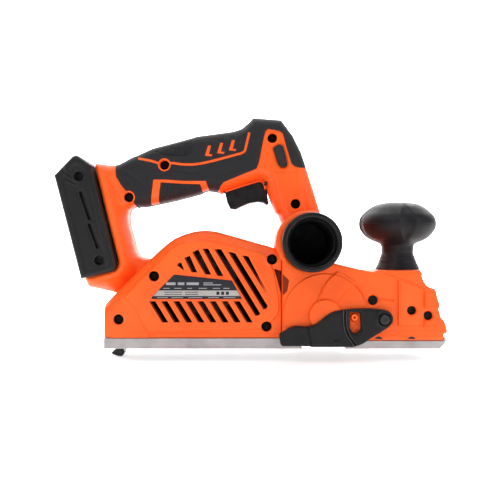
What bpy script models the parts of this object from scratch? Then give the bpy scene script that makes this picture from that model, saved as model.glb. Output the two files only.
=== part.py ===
"""Cordless hand planer with an 82 mm cutter drum, as separate pieces.

Frame: +X is the planing direction (front), +Y is the tool's left side, +Z is up.
The origin is the centre of the rear sole's bottom face.
All sizes below are in millimetres and are scaled to metres when a shape is made.
"""

import math

import bmesh
import bpy
from mathutils import Matrix, Vector

MM = 0.001
GAP = 0.3                      # clearance between touching pieces

# --- driving dimensions -----------------------------------------------------
SOLE_W = 82.0                  # planing width
SOLE_T = 9.0                   # rear sole thickness
REAR_X0, REAR_X1 = -84.6, 83.9
SHOE_X0, SHOE_X1 = 120.8, 205.6
SHOE_T = 6.9
DEPTH_MAX = 2.0                # front shoe travel
BODY_H = 43.0                  # half width of the motor casing and frame
LOOP_H = 20.0                  # half width of the handle loop
WALL = 2.6
DRUM = (102.8, 28.4)           # drum axis, x and z
DRUM_R, BLADE_R = 26.5, 28.2
MOTOR = (1.0, 54.5)            # motor axis, x and z
DUCT = (90.3, 90.0)            # chip duct axis, x and z
BARREL = (88.6, 90.0)          # axis of the round housing over the duct
DUCT_R = 27.2
KNOB_X = 171.5                 # depth knob axis
GUARD_PIVOT = (151.9, 25.6)
GUARD_STOP = (127.1, 27.3)
TRIGGER_PIVOT = (53.0, 142.0)
FOOT_PIVOT = (-79.5, 4.2)
PULLEY_M, PULLEY_D = 11.0, 20.0
BELT_Y0, BELT_Y1 = 51.0, 61.0
SHOE_H = 35.0                  # half width of the battery shoe

# --- scene set-up -----------------------------------------------------------
for old in list(bpy.data.objects):
    bpy.data.objects.remove(old, do_unlink=True)

PARTS = bpy.data.collections.new("hand_planer")
CUTTERS = bpy.data.collections.new("cutters")
bpy.context.scene.collection.children.link(PARTS)
bpy.context.scene.collection.children.link(CUTTERS)
CUTTERS.hide_render = True


def material(name, rgb, roughness, metallic=0.0):
    mat = bpy.data.materials.new(name)
    mat.use_nodes = True
    shader = mat.node_tree.nodes["Principled BSDF"]
    shader.inputs["Base Color"].default_value = (*rgb, 1.0)
    shader.inputs["Roughness"].default_value = roughness
    shader.inputs["Metallic"].default_value = metallic
    mat.diffuse_color = (*rgb, 1.0)
    return mat


ORANGE = (1.0, 0.13, 0.02)
RUBBER = (0.035, 0.037, 0.045)
BLACK = (0.012, 0.012, 0.014)
SILVER = (0.52, 0.50, 0.50)
STEEL = (0.45, 0.45, 0.47)


# --- shape helpers ----------------------------------------------------------
def new_object(name, mesh, collection=PARTS):
    obj = bpy.data.objects.new(name, mesh)
    collection.objects.link(obj)
    return obj


def tidy(mesh, merge=2e-6, turn=True):
    """Welds loose caps and, on a single shell, turns the faces outwards."""
    bm = bmesh.new()
    bm.from_mesh(mesh)
    bmesh.ops.remove_doubles(bm, verts=bm.verts, dist=merge)
    bmesh.ops.dissolve_degenerate(bm, edges=bm.edges, dist=1e-6)
    if turn:
        bmesh.ops.recalc_face_normals(bm, faces=bm.faces)
    bm.to_mesh(mesh)
    bm.free()
    mesh.update()


def to_mesh(obj):
    """The evaluated shape of an object, in world space, as a plain mesh."""
    bpy.context.view_layer.update()
    graph = bpy.context.evaluated_depsgraph_get()
    mesh = bpy.data.meshes.new_from_object(obj.evaluated_get(graph))
    mesh.transform(obj.matrix_world)
    return mesh


def replace_by_mesh(obj, name, collection):
    mesh = to_mesh(obj)
    bpy.data.objects.remove(obj, do_unlink=True)
    tidy(mesh)
    return new_object(name, mesh, collection)


def slab(name, loops, y0, y1, collection=PARTS, bevel=0.0, steps=1):
    """A flat outline in X and Z (with holes), from y0 to y1, with rounded rims."""
    if isinstance(loops[0][0], (int, float)):
        loops = [loops]
    curve = bpy.data.curves.new(name, "CURVE")
    curve.dimensions = "2D"
    curve.fill_mode = "BOTH"
    curve.extrude = ((y1 - y0) / 2 - bevel) * MM
    if bevel:
        curve.bevel_depth = bevel * MM
        curve.bevel_resolution = steps
        curve.offset = -bevel * MM
    for loop in loops:
        spline = curve.splines.new("POLY")
        spline.points.add(len(loop) - 1)
        for point, (x, z) in zip(spline.points, loop):
            point.co = (x * MM, z * MM, 0.0, 1.0)
        spline.use_cyclic_u = True
    obj = new_object(name + "_curve", curve, CUTTERS)
    obj.rotation_euler = (math.pi / 2, 0.0, 0.0)
    obj.location = (0.0, (y0 + y1) / 2 * MM, 0.0)
    return replace_by_mesh(obj, name, collection)


def box(name, x0, x1, y0, y1, z0, z1, collection=PARTS, bevel=0.0):
    mesh = bpy.data.meshes.new(name)
    bm = bmesh.new()
    bmesh.ops.create_cube(bm, size=1.0)
    bmesh.ops.scale(bm, verts=bm.verts, vec=((x1 - x0) * MM, (y1 - y0) * MM, (z1 - z0) * MM))
    bmesh.ops.translate(bm, verts=bm.verts, vec=((x0 + x1) / 2 * MM, (y0 + y1) / 2 * MM, (z0 + z1) / 2 * MM))
    if bevel:
        bmesh.ops.bevel(bm, geom=bm.edges[:], offset=bevel * MM, segments=2, profile=0.5, affect="EDGES")
    bm.to_mesh(mesh)
    bm.free()
    return new_object(name, mesh, collection)


def rod(name, radius, centre, axis, a, b, collection=PARTS, sides=24, radius_b=None, bevel=0.0):
    """A cylinder or cone on an axis ('X', 'Y' or 'Z') through centre, from a to b."""
    mesh = bpy.data.meshes.new(name)
    bm = bmesh.new()
    bmesh.ops.create_cone(bm, cap_ends=True, segments=sides, radius1=radius * MM,
                          radius2=(radius if radius_b is None else radius_b) * MM, depth=(b - a) * MM)
    if bevel:
        rim = [e for e in bm.edges if abs(e.verts[0].co.z - e.verts[1].co.z) < 1e-9]
        bmesh.ops.bevel(bm, geom=rim, offset=bevel * MM, segments=1, profile=0.5, affect="EDGES")
    turn = {"X": Matrix.Rotation(math.pi / 2, 4, "Y"), "Y": Matrix.Rotation(-math.pi / 2, 4, "X"),
            "Z": Matrix.Identity(4)}[axis]
    mid = (a + b) / 2
    place = {"X": (mid, centre[0], centre[1]), "Y": (centre[0], mid, centre[1]),
             "Z": (centre[0], centre[1], mid)}[axis]
    bm.transform(Matrix.Translation(Vector(place) * MM) @ turn)
    bm.to_mesh(mesh)
    bm.free()
    return new_object(name, mesh, collection)


def turned(name, profile, centre, axis, steps=32, closed=False, collection=PARTS):
    """A turned shape. The profile is (radius, height) and runs down its outer side."""
    mesh = bpy.data.meshes.new(name)
    edges = [(i, i + 1) for i in range(len(profile) - 1)]
    if closed:
        edges.append((len(profile) - 1, 0))
    mesh.from_pydata([(r * MM, 0.0, h * MM) for r, h in profile], edges, [])
    obj = new_object(name + "_profile", mesh, CUTTERS)
    screw = obj.modifiers.new("Turn", "SCREW")
    screw.axis = "Z"
    screw.steps = screw.render_steps = steps
    screw.use_merge_vertices = True
    screw.merge_threshold = 0.00001
    if axis == "Y":
        obj.rotation_euler = (-math.pi / 2, 0.0, 0.0)
        obj.location = (centre[0] * MM, 0.0, centre[1] * MM)
    else:
        obj.location = (centre[0] * MM, centre[1] * MM, 0.0)
    return replace_by_mesh(obj, name, collection)


def coil(name, centre, axis, radius, wire, a, b, turns, sides=10):
    """A helical spring on an axis, as one wire with closed ends."""
    curve = bpy.data.curves.new(name, "CURVE")
    curve.dimensions = "3D"
    curve.bevel_depth = wire * MM
    curve.bevel_resolution = 1
    curve.use_fill_caps = True
    count = int(turns * sides)
    spline = curve.splines.new("POLY")
    spline.points.add(count)
    for i, point in enumerate(spline.points):
        angle = 2 * math.pi * turns * i / count
        along = a + (b - a) * i / count
        u, v = radius * math.cos(angle), radius * math.sin(angle)
        spot = (centre[0] + u, along, centre[1] + v) if axis == "Y" else (centre[0] + u, centre[1] + v, along)
        point.co = (spot[0] * MM, spot[1] * MM, spot[2] * MM, 1.0)
    obj = new_object(name + "_curve", curve, CUTTERS)
    return replace_by_mesh(obj, name, PARTS)


def combine(target, tool, operation):
    """Cuts or joins a mesh with another, and keeps the tool as a hidden cutter."""
    modifier = target.modifiers.new("Join", "BOOLEAN")
    modifier.operation = operation
    modifier.solver = "EXACT"
    modifier.object = tool
    mesh = to_mesh(target)
    target.modifiers.clear()
    target.data = mesh
    tidy(mesh, turn=False)
    if PARTS in tool.users_collection:
        PARTS.objects.unlink(tool)
        CUTTERS.objects.link(tool)
    tool.hide_render = True
    tool.display_type = "WIRE"
    return target


def cut(target, *tools):
    for tool in tools:
        combine(target, tool, "DIFFERENCE")
    return target


def join(target, *tools):
    for tool in tools:
        combine(target, tool, "UNION")
    return target


def copy_of(obj, name, collection=CUTTERS):
    return new_object(name, obj.data.copy(), collection)


def finish(obj, mat, origin=None, smooth=True):
    """Gives a piece its material, its shading, and its origin on the joint axis."""
    if origin is not None:
        at = Vector(origin) * MM
        obj.data.transform(Matrix.Translation(-at))
        obj.location = at
    obj.data.materials.clear()
    obj.data.materials.append(mat)
    if smooth:
        obj.data.shade_smooth()
        obj.data.set_sharp_from_angle(angle=math.radians(32))
    return obj


# --- outline helpers --------------------------------------------------------
def area(loop):
    return sum(a[0] * b[1] - b[0] * a[1] for a, b in zip(loop, loop[1:] + loop[:1])) / 2


def inset(loop, distance):
    """The outline moved inwards by a distance (outwards where it is negative)."""
    sign = 1.0 if area(loop) > 0 else -1.0
    result = []
    count = len(loop)
    for i in range(count):
        p, q, r = Vector(loop[i - 1]), Vector(loop[i]), Vector(loop[(i + 1) % count])
        d1, d2 = (q - p).normalized(), (r - q).normalized()
        n1, n2 = Vector((-d1.y, d1.x)) * sign, Vector((-d2.y, d2.x)) * sign
        middle = n1 + n2
        scale = 2.0 / max(middle.length_squared, 0.5)
        result.append(tuple(q + middle * scale * distance))
    return result


def circle(centre, radius, count=32, start=0.0):
    return [(centre[0] + radius * math.cos(start + 2 * math.pi * i / count),
             centre[1] + radius * math.sin(start + 2 * math.pi * i / count)) for i in range(count)]


def cut_below(loop, level):
    """The part of an outline above a level of Z."""
    result = []
    for (ax, az), (bx, bz) in zip(loop, loop[1:] + loop[:1]):
        if az >= level:
            result.append((ax, az))
        if (az - level) * (bz - level) < 0:
            t = (level - az) / (bz - az)
            result.append((ax + t * (bx - ax), level))
    return result


def belt_loop(r1, r2, count=14):
    """The outline of a belt round the motor pulley (r1) and the drum pulley (r2)."""
    a, b = Vector(MOTOR), Vector(DRUM)
    d = b - a
    heading = math.atan2(d.y, d.x)
    lean = math.asin((r2 - r1) / d.length)
    points = []
    start, end = heading - math.pi / 2 - lean, heading + math.pi / 2 + lean
    for i in range(count + 1):
        t = start + (end - start) * i / count
        points.append((b.x + r2 * math.cos(t), b.y + r2 * math.sin(t)))
    start, end = heading + math.pi / 2 + lean, heading + 3 * math.pi / 2 - lean
    for i in range(count + 1):
        t = start + (end - start) * i / count
        points.append((a.x + r1 * math.cos(t), a.y + r1 * math.sin(t)))
    return points


# --- materials --------------------------------------------------------------
m_orange = material("orange_plastic", ORANGE, 0.42)
m_rubber = material("grip_rubber", RUBBER, 0.75)
m_black = material("black_plastic", BLACK, 0.45)
m_knob = material("knob_plastic", (0.03, 0.03, 0.035), 0.5)
m_alu = material("sole_aluminium", SILVER, 0.35, 1.0)
m_steel = material("steel", STEEL, 0.3, 1.0)
m_copper = material("copper", (0.7, 0.3, 0.15), 0.35, 1.0)
m_brass = material("brass", (0.75, 0.55, 0.22), 0.3, 1.0)
m_board = material("board", (0.02, 0.16, 0.06), 0.5)
m_belt = material("belt_rubber", (0.015, 0.015, 0.016), 0.8)
m_label = material("label", (0.07, 0.075, 0.09), 0.35)
m_spring = material("spring_steel", (0.5, 0.5, 0.52), 0.25, 1.0)

# --- casing outlines (x, z) ---------------------------------------------------
HUMP = [(-84.5, 9.4), (65.9, 9.4), (65.9, 83.3), (54.5, 86.7), (39.6, 90.9), (21.6, 96.0), (9.7, 99.3),
        (0.8, 100.0), (-7.4, 99.2), (-16.5, 96.7), (-24.6, 93.2), (-31.1, 88.6), (-38.2, 82.4), (-44.8, 76.1),
        (-75.4, 46.0), (-84.5, 36.6)]
LOOP = [(-60.0, 47.0), (52.0, 70.0), (72.0, 86.0), (104.5, 100.0), (103.6, 109.0), (101.9, 115.8), (95.5, 136.8),
        (89.4, 156.1), (84.5, 170.4), (77.2, 185.1), (67.1, 198.7), (42.1, 200.7), (38.7, 196.9), (32.4, 191.3),
        (24.9, 188.8), (11.2, 186.9), (-7.6, 184.4), (-11.5, 183.0), (-46.4, 173.7), (-60.2, 167.5),
        (-65.2, 165.6), (-76.4, 159.4), (-82.1, 158.7), (-94.9, 159.2), (-94.9, 153.9), (-74.8, 71.1),
        (-74.9, 68.0), (-76.9, 65.2), (-98.7, 59.8), (-103.4, 58.8), (-101.0, 50.5), (-79.0, 45.9)]
HOLE = [(-46.0, 66.0), (60.0, 70.0), (61.0, 86.0), (61.5, 96.0), (64.0, 104.0), (66.5, 109.5), (64.8, 114.8),
        (61.7, 117.3), (59.0, 123.5), (54.6, 135.9), (53.2, 141.8), (51.0, 145.4), (47.4, 146.1), (31.7, 141.4),
        (16.2, 136.2), (14.3, 133.1), (10.0, 135.7), (1.0, 136.8), (-5.1, 133.7), (-26.4, 128.1), (-43.9, 124.3),
        (-52.7, 122.4), (-62.7, 122.4), (-67.3, 119.5), (-68.6, 114.4), (-68.2, 107.2), (-64.8, 94.9),
        (-61.8, 83.2), (-59.2, 79.0), (-54.6, 76.9), (-48.3, 76.2)]
SHOE = [(-128.4, 147.9), (-105.5, 59.2), (-98.9, 60.4), (-77.2, 65.8), (-75.5, 68.4), (-75.5, 71.1),
        (-96.0, 153.9), (-96.1, 156.3), (-108.3, 164.8), (-110.5, 165.0), (-112.6, 164.2)]
GRIP = [(-79.5, 157.9), (-77.1, 148.0), (-72.7, 140.6), (-66.0, 133.0), (-61.9, 123.4), (-52.7, 123.4),
        (-43.9, 125.3), (-26.4, 129.1), (-5.1, 134.7), (1.3, 137.8), (9.0, 136.9), (11.9, 136.4), (14.1, 147.3),
        (45.2, 157.5), (48.0, 168.6), (50.1, 183.8), (52.4, 190.2), (65.8, 188.4), (68.5, 184.0), (72.0, 170.6),
        (77.4, 157.3), (78.7, 156.4), (88.2, 156.0), (83.6, 170.0), (76.4, 184.4), (66.6, 197.7), (42.5, 199.7),
        (39.4, 196.2), (32.9, 190.4), (25.1, 187.8), (-7.3, 183.4), (-46.0, 172.7), (-64.8, 164.6),
        (-76.1, 158.4)]
BODY_SCREWS = [(-41.9, 61.6), (-72.2, 24.8), (58.1, 75.8), (53.4, 18.9)]
LOOP_SCREWS = [(-66.6, 129.9), (-35.3, 158.1), (58.9, 181.5), (79.1, 124.1)]
COVER_SCREWS = [(50.0, 42.3), (-18.6, 54.5), (129.6, 50.9)]

# --- the two casing halves ----------------------------------------------------
casing = slab("casing", HUMP, -BODY_H, BODY_H, CUTTERS, bevel=3.0, steps=1)
loop = slab("loop", LOOP, -LOOP_H, LOOP_H, CUTTERS, bevel=3.0, steps=1)
cut(loop, slab("finger_hole", HOLE, -60, 60, CUTTERS))
join(casing, loop)
hollow = slab("hollow", inset(HUMP, WALL), -BODY_H + WALL, BODY_H - WALL, CUTTERS, bevel=1.0, steps=0)
loop_hollow = slab("loop_hollow", inset(LOOP, WALL), -LOOP_H + WALL, LOOP_H - WALL, CUTTERS)
cut(loop_hollow, slab("hole_wall", inset(HOLE, -WALL), -60, 60, CUTTERS))
join(hollow, loop_hollow)

# Slots for the cooling air, in two rows round the label.
LOW_SLOTS = [(-42.6 + 10.2 * i, 40.5, 22.6) for i in range(8)]
HIGH_SLOTS = [[(-18.9, 73.7), (-21.1, 70.8), (-16.2, 66.5)],
              [(-14.7, 77.2), (-8.5, 64.9), (-5.2, 64.9), (-11.5, 79.0)],
              [(-8.0, 81.9), (3.0, 63.1), (6.6, 63.1), (-4.4, 84.3)],
              [(0.7, 85.0), (13.4, 61.8), (17.0, 61.8), (4.0, 85.0)],
              [(10.7, 84.5), (45.5, 28.0), (48.2, 29.7), (15.0, 84.5)],
              [(22.3, 82.3), (52.3, 33.3), (54.4, 36.3), (27.1, 80.8)],
              [(34.2, 79.2), (54.4, 46.9), (38.0, 78.4)]]

halves = {}
for side, name in ((-1, "housing_right"), (1, "housing_left")):
    def span(a, b, side=side):
        """A range of Y measured outwards from the middle plane, on this side."""
        return (side * a, side * b) if side > 0 else (side * b, side * a)

    half = copy_of(casing, name, PARTS)
    inner = copy_of(hollow, name + "_hollow")
    # Posts for the screws and seats for the motor bearings stay inside the hollow.
    for i, (x, z) in enumerate(BODY_SCREWS):
        cut(inner, rod(f"{name}_post_{i}", 6.0, (x, z), "Y", *span(-1.0, BODY_H), CUTTERS, 12))
    for i, (x, z) in enumerate(LOOP_SCREWS):
        cut(inner, rod(f"{name}_loop_post_{i}", 5.8, (x, z), "Y", *span(-1.0, LOOP_H), CUTTERS, 12))
    cut(inner, rod(name + "_bearing_boss", 10.6, MOTOR, "Y", *span(33.2 if side > 0 else 36.0, BODY_H), CUTTERS, 20))
    if side > 0:
        for i, (x, z) in enumerate(COVER_SCREWS[:2]):
            cut(inner, rod(f"{name}_cover_post_{i}", 4.2, (x, z), "Y", *span(30.0, BODY_H), CUTTERS, 12))
    cut(half, inner)
    cut(half, box(name + "_middle", -140, 140, *span(-60, 0.15), 0, 220, CUTTERS))
    cut(half, rod(name + "_duct_cut", DUCT_R + 0.4, BARREL, "Y", -70, 70, CUTTERS, 40))
    cut(half, rod(name + "_bearing_seat", 8.2, MOTOR, "Y", *span(30, 40.6 if side < 0 else 38.8), CUTTERS, 20))
    cut(half, slab(name + "_trigger_slot", [(13.5, 126), (62, 117), (62, 153), (13.5, 153)], -8.8, 8.8, CUTTERS))
    cut(half, rod(name + "_trigger_pin_bore", 1.8, TRIGGER_PIVOT, "Y", -17.4, 17.4, CUTTERS, 12))
    for i, (x, z) in enumerate(BODY_SCREWS + LOOP_SCREWS):
        depth = BODY_H if i < 4 else LOOP_H
        if side < 0:
            cut(half, rod(f"{name}_well_{i}", 4.25, (x, z), "Y", -depth - 3, -depth + 9, CUTTERS, 16))
            cut(half, rod(f"{name}_pilot_{i}", 1.95, (x, z), "Y", -depth - 3, 3, CUTTERS, 10))
        else:
            cut(half, rod(f"{name}_pilot_{i}", 1.95, (x, z), "Y", -3, 13, CUTTERS, 10))
    if side < 0:
        for i, (x, top, low) in enumerate(LOW_SLOTS):
            cut(half, slab(f"slot_low_{i}", [(x - 1.9, top), (x + 9.1, low), (x + 12.9, low), (x + 1.9, top)],
                           -48, -38.5, CUTTERS))
        for i, shape in enumerate(HIGH_SLOTS):
            cut(half, slab(f"slot_high_{i}", shape, -48, -38.5, CUTTERS))
        cut(half, slab("lock_hole", [(59.6, 173.0), (63.9, 159.0), (65.9, 155.8), (70.4, 155.8), (72.3, 158.4),
                                     (68.2, 174.4), (65.0, 176.2)], -26, -14, CUTTERS))
    else:
        cut(half, rod("shaft_hole", 5.5, MOTOR, "Y", 30, 50, CUTTERS, 16))
        for i, (x, z) in enumerate(COVER_SCREWS[:2]):
            cut(half, rod(f"cover_pilot_{i}", 1.75, (x, z), "Y", 31.5, 50, CUTTERS, 10))
    halves[side] = finish(half, m_orange)

# --- casing screws --------------------------------------------------------------
for i, (x, z) in enumerate(BODY_SCREWS + LOOP_SCREWS):
    head = -(BODY_H if i < 4 else LOOP_H) + 9.0 - GAP
    finish(turned(f"housing_screw_{i + 1}", [(0, 11.5), (1.65, 10.5), (1.65, head + 3.0), (1.65, head), (3.7, head),
                                            (3.7, head - 2.0), (2.9, head - 2.8), (0, head - 2.8)],
                  (x, z), "Y", 12), m_steel)

# --- rubber grips on both sides of the handle -------------------------------------
for side, name in ((-1, "grip_right"), (1, "grip_left")):
    a, b = LOOP_H + GAP, LOOP_H + 2.0
    grip = slab(name, GRIP, *((a, b) if side > 0 else (-b, -a)), bevel=0.5, steps=0)
    if side < 0:
        for i, (x, z) in enumerate(LOOP_SCREWS[:2]):
            cut(grip, rod(f"{name}_well_{i}", 5.0, (x, z), "Y", -30, 30, CUTTERS, 16))
    finish(grip, m_rubber)

# --- battery shoe, in two halves, with rails that the pack slides up on -------------
LOW, TOP = Vector((-105.5, 59.2)), Vector((-128.4, 147.9))
UP = (TOP - LOW).normalized()
BACK = Vector((-UP.y, UP.x))          # points rearwards, out of the shoe


def shoe_point(along, depth):
    return tuple(LOW + UP * along - BACK * depth)


slots = slab("shoe_mouth", [shoe_point(-20, -6), shoe_point(-20, 17), shoe_point(78, 17), shoe_point(78, -6)],
             -26.0, 26.0, CUTTERS)
rails = slab("shoe_rails", [shoe_point(-20, 4.5), shoe_point(-20, 11.5), shoe_point(78, 11.5), shoe_point(78, 4.5)],
             -30.5, 30.5, CUTTERS)
for side, name in ((-1, "battery_shoe_right"), (1, "battery_shoe_left")):
    half = slab(name, SHOE, -SHOE_H, SHOE_H, bevel=2.0, steps=1)
    cut(half, slots, rails)
    cut(half, box(name + "_middle", -140, 0, -60 if side > 0 else -0.15, 0.15 if side > 0 else 60, 0, 220, CUTTERS))
    if side < 0:
        for i, (x, z) in enumerate([(-107.0, 146.8), (-89.7, 74.8)]):
            cut(half, rod(f"shoe_well_{i}", 4.1, (x, z), "Y", -40, -28, CUTTERS, 16))
        cut(half, slab("shoe_slot_a", [(-107.1, 133.1), (-98.9, 109.1), (-96.4, 109.9), (-104.6, 133.9)],
                       -40, -30.2, CUTTERS))
        cut(half, slab("shoe_slot_b", [(-99.7, 106.0), (-91.9, 84.6), (-89.5, 85.4), (-97.3, 106.8)],
                       -40, -30.2, CUTTERS))
    finish(half, m_black)

block = slab("terminal_block", [shoe_point(30, 16.7), shoe_point(30, 9.0), shoe_point(66, 9.0), shoe_point(66, 16.7)],
             -19, 19, bevel=0.6, steps=0)
for i, y in enumerate((-12.0, 0.0, 12.0)):
    cut(block, slab(f"terminal_slot_{i}", [shoe_point(33, 14), shoe_point(33, 2), shoe_point(63, 2), shoe_point(63, 14)],
                    y - 0.8, y + 0.8, CUTTERS))
    finish(slab(f"terminal_{i + 1}", [shoe_point(34, 13.7), shoe_point(34, 3.5), shoe_point(38, 2.5),
                                      shoe_point(58, 2.5), shoe_point(62, 3.5), shoe_point(62, 13.7)],
                y - 0.45, y + 0.45), m_brass)
finish(block, m_black)

# --- main frame: drum chamber, chip duct and knob pedestal ---------------------------
FRAME = [(66.4, 9.4), (84.3, 9.4), (84.3, 3.4), (120.3, 3.4), (120.3, 7.3), (203.2, 7.3), (203.4, 12.6),
         (206.0, 13.4), (206.4, 15.4), (205.0, 20.8), (203.6, 24.2), (201.1, 26.7), (199.1, 34.0), (200.1, 36.0),
         (199.9, 38.4), (198.2, 43.3), (196.9, 49.2), (195.7, 51.1), (191.3, 52.2), (188.9, 54.0), (186.4, 57.5),
         (185.0, 61.5), (185.5, 63.8), (183.5, 66.3), (146.0, 66.3), (143.6, 65.3), (137.9, 66.1), (120.6, 70.4),
         (112.0, 72.5), (66.4, 80.0)]
frame = slab("main_frame", FRAME, -BODY_H, BODY_H, bevel=1.2, steps=1)
join(frame, rod("duct", DUCT_R, BARREL, "Y", -BODY_H, 38, CUTTERS, 40, bevel=1.5))
join(frame, slab("side_disc", cut_below(circle(DRUM, 35.8, 48), 3.4), -45.0, -41.4, CUTTERS, bevel=1.0, steps=0))
join(frame, slab("bearing_boss", circle(DRUM, 13.8, 28), -47.5, -40.0, CUTTERS, bevel=1.0, steps=0))
# A flat pad stands a little proud of the side, round the two holes of the fence.
join(frame, slab("fence_pad", [(165.4, 21.5), (194.0, 21.5), (195.0, 33.0), (193.4, 47.5), (165.4, 47.5)],
                 -43.5, -40.0, CUTTERS))
join(frame, rod("pivot_boss", 6.0, GUARD_PIVOT, "Y", -47.7, -40.0, CUTTERS, 20))
join(frame, rod("stop_boss", 2.8, GUARD_STOP, "Y", -50.6, -40.0, CUTTERS, 16))
cut(frame, rod("chamber", 30.4, DRUM, "Y", -41.3, 60, CUTTERS, 40))
cut(frame, box("mouth", 84.31, 215, -41.3, 41.3, -5, 9.7, CUTTERS))
cut(frame, box("plate_mouth", 84.0, 120.31, 20, 60, -5, 9.6, CUTTERS))
cut(frame, rod("duct_bore", 21.5, DUCT, "Y", -60, 33, CUTTERS, 32))
cut(frame, box("chip_throat", 80, 103, -32.9, 32.9, 48, 92, CUTTERS))
cut(frame, rod("bearing_pocket", 11.2, DRUM, "Y", -45.5, -30, CUTTERS, 24))
cut(frame, rod("knob_bore", 6.3, (KNOB_X, 0), "Z", 5, 80, CUTTERS, 20))
cut(frame, rod("shoe_boss_pocket", 12.8, (KNOB_X, 0), "Z", 5, 48, CUTTERS, 24))
cut(frame, box("rib_pocket_a", 140, 154, -37, 37, 5, 56, CUTTERS))
cut(frame, box("rib_pocket_b", 159, 193, 17, 37, 5, 48, CUTTERS))
cut(frame, box("rib_pocket_c", 159, 193, -37, -17, 5, 48, CUTTERS))
cut(frame, rod("pivot_thread", 2.9, GUARD_PIVOT, "Y", -60, -38.5, CUTTERS, 16))
cut(frame, rod("stop_hole", 1.0, GUARD_STOP, "Y", -60, -46, CUTTERS, 10))
for i, (x, z, r) in enumerate([(143.1, 41.4, 4.2), (175.8, 32.8, 3.9), (189.6, 28.4, 3.9)]):
    cut(frame, rod(f"fence_hole_{i}", r, (x, z), "Y", -50, -39.4, CUTTERS, 16))
cut(frame, rod("cover_pilot_2", 1.75, COVER_SCREWS[2], "Y", 31.5, 50, CUTTERS, 10))
finish(frame, m_orange)

plate = slab("drum_side_plate", [cut_below(circle(DRUM, 30.0, 40), 6.2), circle(DRUM, 11.2, 24)], 41.4, 45.5)
finish(plate, m_alu)

# --- chip outlet ------------------------------------------------------------------
finish(turned("chip_outlet", [(18.8, -43.4), (18.8, -30.0), (21.1, -30.0), (21.1, -43.4), (24.2, -43.4), (24.5, -60.0),
                              (24.6, -71.0), (23.8, -72.0), (19.9, -72.0), (18.8, -70.6)], DUCT, "Y", 32, closed=True),
       m_black)

# --- soles ------------------------------------------------------------------------
sole = slab("rear_sole", [(REAR_X0, 0.0), (REAR_X1, 0.0), (80.5, SOLE_T), (REAR_X0, SOLE_T)], -SOLE_W / 2, SOLE_W / 2,
            bevel=0.4, steps=0)
cut(sole, box("foot_slot", -95, -70, -11, 11, -5, 15, CUTTERS))
cut(sole, rod("foot_pin_bore", 1.8, FOOT_PIVOT, "Y", -14.4, 14.4, CUTTERS, 12))
cut(sole, box("sole_recess", -60, 66, -33, 33, 5, 15, CUTTERS))
finish(sole, m_alu)

shoe = slab("front_shoe", [(SHOE_X0, 0.0), (200.4, 0.0), (SHOE_X1, 6.0), (SHOE_X1, 9.8), (203.8, 9.8),
                           (203.8, SHOE_T), (124.5, SHOE_T)], -SOLE_W / 2, SOLE_W / 2, bevel=0.3, steps=0)
join(shoe, rod("shoe_boss", 12.0, (KNOB_X, 0), "Z", 4, 30, CUTTERS, 24))
cut(shoe, rod("shoe_thread", 5.4, (KNOB_X, 0), "Z", 10, 40, CUTTERS, 20))
groove = box("vee_groove", 100, 230, -2.2, 2.2, -2.2, 2.2, CUTTERS)
groove.data.transform(Matrix.Rotation(math.pi / 4, 4, "X"))
cut(shoe, groove)
finish(shoe, m_alu)

# --- depth knob, which screws the front shoe up and down ---------------------------
knob = turned("depth_knob", [
    (0, 126.6), (6.0, 126.5), (11.6, 126.1), (16.5, 125.2), (20.6, 123.8), (24.6, 121.6), (28.2, 118.6), (31.8, 114.7),
    (33.8, 111.0), (34.3, 107.3), (33.8, 103.8), (32.1, 100.4), (29.4, 97.0), (25.8, 94.0), (20.9, 91.5), (15.9, 89.6),
    (14.4, 88.4), (14.0, 85.0), (13.95, 81.4), (5.4, 81.4), (5.4, 100.0), (0, 100.0)], (KNOB_X, 0), "Z", 28)
finish(knob, m_knob, (KNOB_X, 0, 0))
skirt = turned("knob_skirt", [(13.95, 81.1), (14.9, 78.6), (19.6, 68.2), (20.0, 66.7), (5.4, 66.7), (5.4, 81.1)],
               (KNOB_X, 0), "Z", 28, closed=True)
finish(skirt, m_knob, (KNOB_X, 0, 0))
screw = turned("depth_screw", [(0, 99.6), (5.0, 99.6), (5.0, 16.0), (4.0, 14.6), (0, 14.6)], (KNOB_X, 0), "Z", 16)
finish(screw, m_steel, (KNOB_X, 0, 0))
finish(coil("depth_spring", (KNOB_X, 0), "Z", 9.6, 0.8, 31.4, 47.0, 3.0, 12), m_spring)

# --- cutter drum, two blades with their clamps ---------------------------------------
TURN = Matrix.Translation(Vector((DRUM[0], 0, DRUM[1])) * MM) @ Matrix.Rotation(math.radians(35), 4, "Y")


def on_drum(obj, half_turn):
    spin = Matrix.Rotation(math.pi if half_turn else 0.0, 4, "Y")
    obj.data.transform(TURN @ spin)
    return obj


drum = turned("drum", [(0, 64.0), (4.6, 64.0), (5.0, 63.4), (5.0, 41.2), (8.0, 41.2), (8.0, 40.6), (26.0, 40.6),
                       (DRUM_R, 40.0), (DRUM_R, -40.0), (26.0, -40.6), (5.0, -40.6), (5.0, -45.0), (0, -45.0)],
              DRUM, "Y", 32)
for i in (0, 1):
    cut(drum, on_drum(box(f"blade_pocket_{i}", -6, 6, -45, 45, 16, 34, CUTTERS), i))
    finish(on_drum(box(f"blade_{i + 1}", -5.7, -4.5, -40.8, 40.8, 17.2, BLADE_R - 0.6), i), m_steel,
           (DRUM[0], 0, DRUM[1]), False)
    finish(on_drum(box(f"blade_clamp_{i + 1}", -4.2, 5.7, -40.5, 40.5, 16.3, 25.6, bevel=0.4), i), m_alu,
           (DRUM[0], 0, DRUM[1]), False)
finish(drum, m_alu, (DRUM[0], 0, DRUM[1]))


def bearing(name, centre, outer, inner, a, b):
    ring = turned(name, [(outer, b), (outer, a), (inner, a), (inner, b)], centre, "Y", 18, closed=True)
    return finish(ring, m_steel)


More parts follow.
